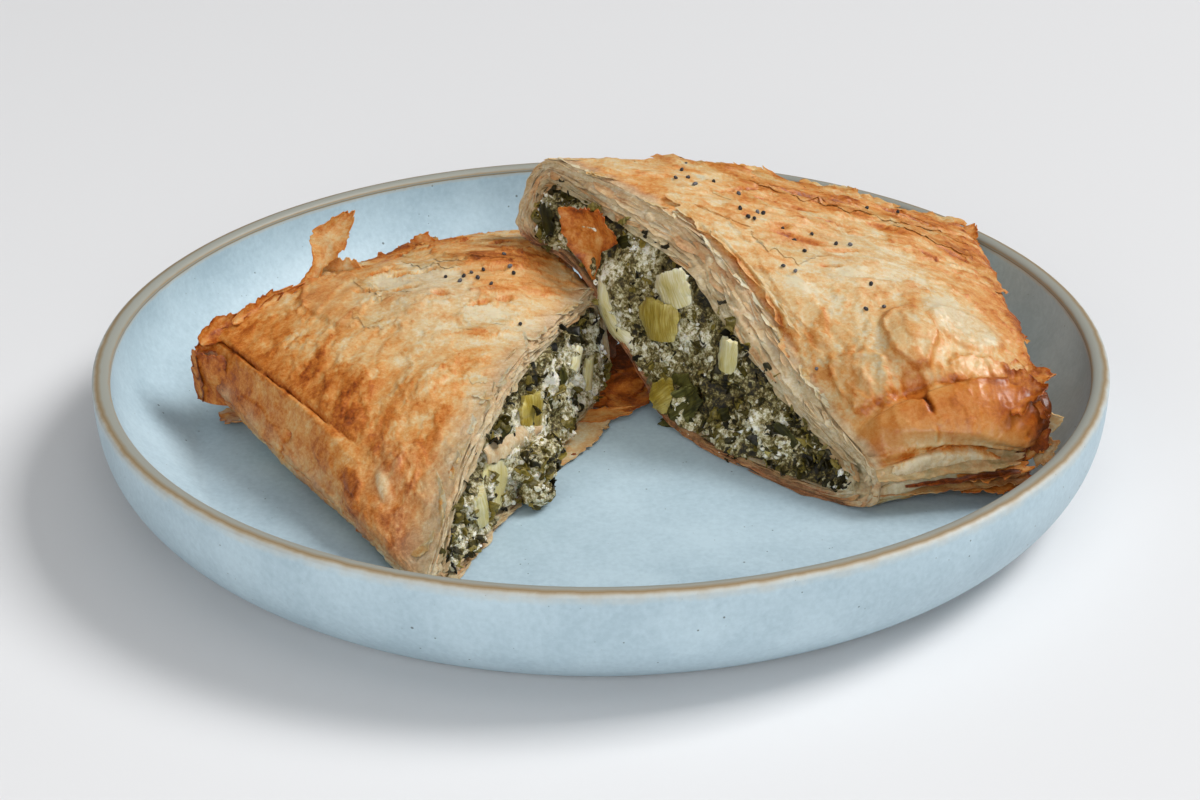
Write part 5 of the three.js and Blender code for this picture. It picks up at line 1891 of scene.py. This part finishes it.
    def strip(self, along: float, up: float, proud: float, heading: float, *shape: float) -> Surface:
        """A strip of leek or a leaf in the cut, as a sheet along the face.

        Args:
            along: its root's share of the core's length.
            up: share of its height.
            proud: how far the root stands out.
            heading: degrees up from the cut's direction.
            shape: a loose leaf's values from its length.

        Returns:
            The closed sheet.
        """
        root = self.on_face(*np.array([[along], [up], [proud]]))[0]
        front, back = (np.append(c, 0.0) for c in self.form.base_corners[:2])
        angle = math.radians(heading)
        way = unit(back - front) * math.cos(angle) + np.array([0, 0, 1.0]) * math.sin(angle)
        out = self.form.out_of_cut() + (0, 0, 0.15)
        return LooseLeaf(tuple(root), tuple(way), tuple(out), *shape).surface((30, 20))

    def heaps(self, random: Generator) -> tuple[Surface, Array]:
        """The filling that has rolled out of the cut, in rough lumps.

        Args:
            random: picks the places for the bits.

        Returns:
            The lumps, and places on them for the bits.
        """
        points, faces = ball(5)
        out = self.form.out_of_cut()
        made, seats = [], []
        for share, proud, height, radius in self.spilled:
            foot = self.form.point(np.array([[share, 0.0, 0.0]]), True)[0] + out * proud
            foot[2] = height
            around = foot + points * radius * np.array([1, 0.9, 0.85])
            bumps = 0.9 * clouds(around, 5, self.seed + 20, 2) + 0.7 * clouds(around, 2.2, self.seed + 21, 3)
            around = around + points * bumps[:, None]
            around[:, 2] = np.maximum(around[:, 2], FLOOR_HEIGHT + GAP)
            curd = 0.05 + 0.2 * clouds(around, 6, self.seed + 22, 3)
            made.append(Surface(around, faces, {"curd": curd}))
            picked = random.choice(len(points), int(20 * radius))
            seats.append(around[picked][(points[picked] @ out > -0.2)])
        return joined(made), np.concatenate(seats)

    def build(self, core: Material, leaf: Material, fold: Material, feta: Material, leek: Material) -> None:
        """Makes the core, the spilled lumps, the scraps, the crumbs, the leek and the leaves.

        Args:
            core: the material of the core and the lumps.
            leaf: the scraps'.
            fold: the folded leaves'.
            feta: the crumbs'.
            leek: the strips'.
        """
        random = default_rng(self.seed)
        name, slot = self.side.value, "spinach_filling"
        filling = self.surface().piece(f"{name}_filling_core", slot, core)
        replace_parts(filling, f"{name}_filling")
        seats = np.zeros((0, 3))
        if self.spilled:
            heap, seats = self.heaps(random)
            heap.piece(f"{name}_spilled_filling", slot, core)
        along, up = self.strewn(self.scraps_count, random)
        places = self.on_face(along, up, random.uniform(-0.5, 0.4, len(along)))
        self.scraps(np.concatenate([places, seats[::2]]), random).piece(f"{name}_spinach", slot, leaf)
        along, up = self.strewn(2 * self.crumbs_count, random)
        places = self.on_face(along, up, random.uniform(-0.3, 0.35, len(along)))
        curdy = self.curd(along, up, places) - self.curdy + random.normal(0, 0.08, len(along)) > 0.02
        places = np.concatenate([places[curdy], seats[1::2]])
        size = random.uniform(0, 1, len(places)) ** 4 * 0.7 + 0.14
        sizes = size[:, None] * random.uniform(0.5, 1.2, (len(places), 3))
        lumps(places, sizes, 1, 0.9, random).piece(f"{name}_feta", slot, feta)
        strips = [self.strip(*row) for row in self.leeks] + [strip.surface() for strip in self.hanging]
        joined(strips).piece(f"{name}_leek", slot, leek)
        joined([self.strip(*row) for row in self.leafs]).piece(f"{name}_spinach_leaves", slot, fold)


# The left half's filling, with a lump that has rolled out on the plate.
LEFT_FILLING = Filling(
    Side.LEFT, LEFT, 30, curdy=0.1,
    spilled=((0.44, 3, 15, 5.6), (0.41, 5.5, 10.5, 4.2), (0.49, 4, 16.5, 4.6)),
    curds=rows_of(
        CurdSpot,
        (0.66, 0.77, 4.5, 0.34), (0.8, 0.5, 6, 0.26), (0.28, 0.4, 7, 0.24), (0.9, 0.8, 4, -0.12),
        (0.15, 0.6, 6, 0.16), (0.42, 0.85, 3, -0.1), (0.55, 0.3, 4, 0.16), (0.92, 0.3, 4, 0.1),
    ),
    leeks=(
        (0.5, 0.44, 0.6, 75, 10, (5, 6.6, 6.4, 4.4), -1.2, -0.6, 0.35, 0.2, 0.4, 51, 1.4),
        (0.27, 0.1, 0.9, 70, 12, (5.4, 8, 7.6, 5), -1.4, -0.6, 0.75, 0.2, 0.4, 52, 1.4),
        (0.19, 0.2, 0.6, 100, 9, (2.4, 3.2, 2.6), -1, -0.4, 0.7, 0.2, 0.4, 55, 1.2),
        (0.86, 0.2, 0.4, 80, 9, (2, 2.6, 2), -0.8, 0, 0.75, 0.2, 0.4, 53, 1.1),
        (0.75, 0.62, 0.5, 40, 7, (1.6, 2.4, 1.6), -0.8, 0, 0.85, 0.2, 0.4, 56, 1),
    ),
    leafs=(
        (0.6, 0.3, 0.6, 50, 7, (1.4, 2.2, 1.2), -0.8, 0.4, 0.4, 0.5, 0.8, 61, 0.3),
        (0.72, 0.55, 0.4, 110, 6, (1.2, 2, 1), -0.8, 0.4, 0.5, 0.5, 0.8, 62, 0.3),
        (0.35, 0.75, 0.4, 20, 6, (1.2, 1.8, 1), -0.8, 0.4, 0.3, 0.5, 0.8, 63, 0.3),
    ),
)


# The right half's filling, with chunks of leek and a hollow of dark leaf, its shade painted on.
RIGHT_FILLING = Filling(
    Side.RIGHT, RIGHT, 60, clear=((0.82, 0.6, 11), (0.79, 0.3, 6)), curdy=-0.04, scraps_count=360,
    crumbs_count=900,
    # The spots at 0.07 and 0.4 along, below nothing, are dark leaf and painted shade of hollows.
    curds=rows_of(
        CurdSpot,
        (0.67, 0.86, 5.5, 0.34), (0.49, 0.56, 5.5, 0.3), (0.62, 0.4, 3, 0.1), (0.4, 0.36, 7, -0.3),
        (0.56, 0.85, 5, 0.2), (0.95, 0.4, 6, -0.18), (0.75, 0.95, 4, -0.15), (0.25, 0.5, 6, 0.1),
        (0.07, 0.45, 7, -0.4), (0.3, 0.9, 4, -0.1),
    ),
    leeks=(
        (0.53, 0.76, 0.8, 60, 10, (4.4, 5.4, 5.2, 4.6), -1.2, -0.8, 0.8, 0.3, 0.4, 71, 1.8),
        (0.562, 0.45, 0.8, 80, 11, (4.2, 6.2, 6.6, 4.6), -1.6, -0.6, 0.36, 0.25, 0.4, 72, 1.5),
        (0.366, 0.68, 0.7, 95, 9, (2.4, 3, 2.8, 2.2), -1, -0.4, 0.7, 0.2, 0.4, 74, 1.4),
        (0.505, 0.22, 1.2, -42, 10, (2.6, 3.8, 3.6, 2), -1.2, 0.6, 0.34, 0.5, 0.4, 75, 1.3),
        (0.2, 0.2, 0.7, 30, 8, (1.2, 1.8, 1.2), -0.8, 0, 0.6, 0.2, 0.4, 77, 1.1),
    ),
    leafs=(
        (0.46, 0.36, 1.1, -48, 16, (2.4, 4.4, 4.8, 3), -1, 0.4, 0.5, 0.4, 2, 81, 0.3),
        (0.42, 0.34, 1.4, -42, 14, (2, 3.8, 4.2, 2.2), -1, 0.6, 0.5, 0.4, 2, 82, 0.3),
        (0.44, 0.1, 1, -30, 13, (2, 3.4, 3, 1.6), -1, 0.4, 0.3, 0.4, 2, 86, 0.3),
        (0.34, 0.3, 0.6, -40, 10, (1.6, 3, 2), -0.8, 0.4, 0.35, 0.5, 2, 83, 0.3),
        (0.93, 0.15, 0.6, 80, 9, (1.4, 2.6, 1.6), -0.8, 0.4, 0.25, 0.5, 0.8, 84, 0.3),
        (0.72, 0.85, 0.6, -30, 12, (1.4, 2.4, 1.6), -0.8, 0.4, 0.25, 0.5, 0.8, 87, 0.3),
        (0.15, 0.5, 0.5, 30, 8, (1.2, 2.2, 1.4), -0.8, 0.4, 0.3, 0.5, 0.8, 85, 0.3),
    ),
    hanging=(
        LooseLeaf((0.6, 18, 40), (0.34, -0.36, -0.87), (-0.5, -0.86, 0.1), 22, (2, 2.7, 2.4, 2.7, 1.4), -1.2,
            1, 0.85, 0.12, 0.5, 79, 1.5, sway=(0.5, -2, -0.8, 2.4)),
    ),
)


# --- loose flakes
@dataclass(frozen=True)
class Flake:
    """A loose flake of filo that stands in for a node of the frame."""

    name: str
    node: str
    slot: str
    leaf: LooseLeaf


FLAKES = (
    Flake("cut_brown_flake", "cut_flake", "brown_flake", LooseLeaf((-1, 20.5, 38.5), (-0.12, 0.12, 1),
        (-0.6, -0.8, 0.2), 20, (0.3, 2.4, 5.4, 8.6, 7.6, 7.4), 1.6, 1, 0.6, 0.2, 0.6, 91,
        sway=(0, 0, 0.6, -1.2, 0, 0.4))),
    Flake("pale_flake_on_plate", "plate_flake_pale", "pale_flake", LooseLeaf((-11, -26, 6.8), (0.37, 0.93, 0),
        (0, 0, 1), 31, (1.2, 3.2, 3.8, 4.2, 3), 0.2, 0.3, 0.22, 0.5, 0.3, 92, 0.22, 0.35, front=1)),
    # Its dark brown is partly painted shade of the gap between the halves.
    Flake("brown_flake_on_plate", "plate_flake_brown", "brown_flake", LooseLeaf((5, 3.5, 7.3),
        (0.36, 1, 0.04), (0, 0, 1), 19, (3, 6.5, 7.5, 6), 0.6, 0.6, 0.76, 0.4, 0.5, 93, front=1)),
    Flake("corner_flake_under_crust", "corner_flake", "pale_flake", LooseLeaf((-101, 6, 6.8), (0.8, -0.6, 0),
        (0, 0, 1), 12, (1.5, 4.5, 4.8, 3), 0.3, 0.8, 0.42, 0.5, 0.6, 94)),
)

# Shreds with no place of their own in the frame: on the plate, and a flap of pastry over the left filling.
SHREDS = (
    LooseLeaf((-9, -2, 7), (0.9, 0.3, 0), (0, 0, 1), 21, (1, 3, 3.6, 2.6, 1.2), 0.4, 0.5, 0.5, 0.5, 0.5, 95),
    LooseLeaf((36.5, -18.5, 6.6), (0.7, 0.5, 0.1), (0, 0, 1), 2.6, (0.6, 1, 0.5), 0.2, 0.3, 0.45, 0.5, 0.3,
        96),
    LooseLeaf((110, 58, 24), (0.6, 0.6, 0.5), (-0.7, -0.5, 0.5), 3.6, (0.8, 1.6, 0.9), 0.4, 0.4, 0.55, 0.5,
        0.4, 97),
    LooseLeaf((96.5, -37, 6.6), (1, 0.3, 0), (0, 0, 1), 5, (0.5, 1.4, 0.8), 0.2, 0.3, 0.3, 0.5, 0.3, 98),
    # These three lie and stand in the gap between the halves, baked darkest brown: browned pastry, and
    # painted shade of the gap.
    LooseLeaf((-4, 10, 7.2), (0.35, 1, 0.22), (0, -0.5, 1), 26, (2, 7, 9, 8), 0.8, 1, 1, 0.4, 0.8, 100),
    LooseLeaf((-5, 6, 6.8), (0.75, 0.65, 0.1), (0, -0.3, 1), 24, (1.4, 4.6, 5.4, 3), 0.6, 1.4, 0.74, 0.5, 0.8,
        101, gloss=0.5),
    LooseLeaf((-2, 29, 9), (0.05, 0.1, 1), (-0.2, -1, 0), 30, (6, 6, 5, 3.5), 0.5, 1, 1, 0.3, 1.5, 102, 0.5,
        0.1),
    LooseLeaf((-7.8, -20.4, 6.6), (1, 0.2, 0), (0, 0, 1), 1.3, (0.3, 0.6, 0.3), 0.2, 0.3, 1, 0.2, 0.1, 103,
        0.8),
    LooseLeaf((-98, 7.9, 6.7), (1, 0.5, 0.1), (0, 0, 1), 4, (0.6, 1.5, 0.8), 0.2, 0.4, 0.35, 0.5, 0.4, 104),
    LooseLeaf((-27.2, -56.5, 25.5), (0.4, 0.88, -0.2), (0.9, -0.4, 0.45), 31, (1.8, 2.7, 2.4, 1.9, 0.8), -0.6,
        0.4, 0.22, 0.3, 0.8, 99, 0.5, 0.8, sway=(0, 0.8, 0)),
)


def build_flakes(filo: Material) -> None:
    """Makes the loose flakes and shreds."""
    for flake in FLAKES:
        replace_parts(flake.leaf.surface().piece(flake.name, flake.slot, filo), flake.node)
    joined([leaf.surface((26, 14)) for leaf in SHREDS]).piece("loose_shreds", "pale_flake", filo)


# --- the plate
@dataclass
class Plate:
    """A stoneware plate with a foot ring, a flat floor and a steep flared wall, thrown in one piece."""

    rim_radius: float = 130.0
    height: float = 31.2
    rim_width: float = 4.5
    rim_rise: float = 1.2  # of the rounded rim over the wall
    foot_outer: float = 113.0
    foot_inner: float = 105.0
    foot_depth: float = 1.2
    floor_radius: float = 106.0
    floor_height: float = FLOOR_HEIGHT
    wall_flare: float = 3.3
    bowl_flare: float = 2.6
    segments: int = 288

    def profile(self) -> tuple[Array, Array]:
        """Radius and height from the middle of the underside round the rim to the middle of the floor.

        The outer wall is r = R - (R - foot)(1 - rise)^flare, the inner one alike, and the rim a half ellipse.

        Returns:
            The points, and how near each is to the rim's top, from 0 to 1.
        """
        rise = np.linspace(0, 0.962, 34)
        flare = (self.rim_radius - self.foot_outer) * (1 - rise) ** self.wall_flare
        outer = stacked(self.rim_radius - flare, rise * self.height)
        angle = np.linspace(0, math.pi, 17)[1:-1]
        half = self.rim_width / 2
        round_up = self.height - self.rim_rise + self.rim_rise * np.sin(angle)
        rim = stacked(self.rim_radius - half + np.cos(angle) * half, round_up)
        fall = np.linspace(0.952, 0, 40)
        bowl = self.rim_radius - self.rim_width
        flare = (bowl - self.floor_radius) * (1 - fall) ** self.bowl_flare
        inner = stacked(bowl - flare, self.floor_height + fall * (self.height - self.floor_height))
        under = stacked(np.linspace(0.5, self.foot_inner - 2, 12), self.foot_depth)
        foot = np.array([[self.foot_inner - 0.4, 0.1], [self.foot_inner, 0.0], [self.foot_outer - 0.6, 0.0]])
        floor = stacked(np.linspace(self.floor_radius, 0.5, 40)[1:], self.floor_height)
        points = np.concatenate([under, foot, outer, rim, inner, floor])
        on_wall = 0.16 * smooth(self.height - 4.5, self.height - self.rim_rise, outer[:, 1])
        on_rim = np.interp(angle / math.pi, (0, 0.2, 0.38, 0.55, 0.8, 1), (0.16, 0.24, 0.4, 0.66, 0.8, 1.0))
        bare = np.zeros(len(inner))
        bare[:3] = (0.6, 0.2, 0.16)
        top = np.concatenate([np.zeros(len(under) + len(foot)), on_wall, on_rim, bare, np.zeros(len(floor))])
        return points, top

    def build(self, finish: Material) -> None:
        """Turns the profile round the axis and closes both middles with a small disc.

        Args:
            finish: the plate's material.
        """
        profile, top = self.profile()
        angle = np.linspace(0, 2 * math.pi, self.segments, endpoint=False)
        radius, height = profile[:, :1], profile[:, 1:]
        rings = stacked(radius * np.cos(angle), radius * np.sin(angle), height)
        thrown = 0.25 * np.minimum(noise(rings / 60, 3), 0) * smooth(1, 12, rings[..., 2])
        rings[..., :2] += unit(rings[..., :2]) * thrown[..., None]
        count = self.segments
        faces = grid_faces(len(profile), count, closed=True)[:, ::-1]
        half = np.arange(count // 2 - 1)
        cap = stacked(half, half + 1, count - 2 - half, count - 1 - half)
        last = (len(profile) - 1) * count
        faces = np.concatenate([faces, cap[:, ::-1], cap + last])
        surface = Surface(rings.reshape(-1, 3), faces, {"rim": np.repeat(top, count)})
        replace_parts(surface.piece("glazed_plate", "stoneware", finish), "plate")


# --- the studio
@dataclass
class Studio:
    """The camera, a pale floor and soft lights."""

    camera_place: Triple = (-0.2, -550.7, 285.8)
    camera_target: Triple = (-0.245, -37.96, 31.2)
    camera_roll: float = -0.0070
    lens: float = 70.0

    def build(self) -> None:
        """Makes the camera, the floor, the lights and the sky."""
        scene = bpy.context.scene
        camera = bpy.data.objects.new("camera", bpy.data.cameras.new("camera"))
        camera.data.lens = self.lens
        camera.data.sensor_width = 36.0
        aimed = self.aimed(self.camera_place, self.camera_target)
        camera.matrix_world = aimed @ Matrix.Rotation(self.camera_roll, 4, "Z")
        scene.collection.objects.link(camera)
        scene.camera = camera
        self.floor()
        self.lamp("key", (3740, 1170, 4370), (0, 0, 10), (2340, 2340), 300.0)
        self.lamp("overhead", (700, -500, 3800), (0, 0, 0), (3600, 3600), 34.0)
        self.lamp("front", (-300, -2100, 1000), (0, 0, 10), (2600, 1300), 37.0)
        world = bpy.data.worlds.new("studio")
        world.use_nodes = True
        background = world.node_tree.nodes["Background"]
        background.inputs["Color"].default_value = linear("#eef0f2")
        background.inputs["Strength"].default_value = 0.12
        scene.world = world
        scene.view_settings.view_transform = "Standard"

    @staticmethod
    def aimed(place: tuple, target: tuple) -> Matrix:
        """The pose at a place that looks at a target, both in millimetres."""
        start, end = Vector(place) * MM, Vector(target) * MM
        return Matrix.Translation(start) @ (end - start).to_track_quat("-Z", "Y").to_matrix().to_4x4()

    def floor(self) -> None:
        """A wide pale sheet of paper."""
        mesh = bpy.data.meshes.new("floor")
        half = 6.0
        corners = [(-half, -half, 0), (half, -half, 0), (half, half, 0), (-half, half, 0)]
        mesh.from_pydata(corners, [], [(0, 1, 2, 3)])
        material, add, _ = new_material("paper")
        paper = {"Base Color": linear("#dcdcdd"), "Roughness": 0.7, "Specular IOR Level": 0.2}
        add("OutputMaterial", {"Surface": add("BsdfPrincipled", paper)})
        mesh.materials.append(material)
        made = bpy.data.objects.new("floor", mesh)
        bpy.context.scene.collection.objects.link(made)

    def lamp(self, name: str, place: tuple, target: tuple, size: tuple, watts: float) -> None:
        """An oblong soft light. Its lengths are in millimetres.

        Args:
            name: the light's name.
            place: where it is.
            target: where it looks.
            size: its width and height.
            watts: its power.
        """
        light = bpy.data.lights.new(name, "AREA")
        light.shape = "RECTANGLE"
        light.size, light.size_y = size[0] * MM, size[1] * MM
        light.energy = watts
        made = bpy.data.objects.new(name, light)
        made.matrix_world = self.aimed(place, target)
        bpy.context.scene.collection.objects.link(made)


def main() -> None:
    """Builds every piece in order."""
    logging.basicConfig(level=logging.INFO, format="%(name)s: %(message)s")
    Studio().build()
    Plate().build(GlazeFinish().material())
    poppy = POPPY.material()
    filo = LEFT_CRUST.build(poppy)
    RIGHT_CRUST.build(poppy)
    bits = [finish.material() for finish in (FillingFinish(), SPINACH, SPINACH_FOLD, FETA, LEEK)]
    LEFT_FILLING.build(*bits)
    RIGHT_FILLING.build(*bits)
    build_flakes(filo)


if __name__ == "__main__":
    main()
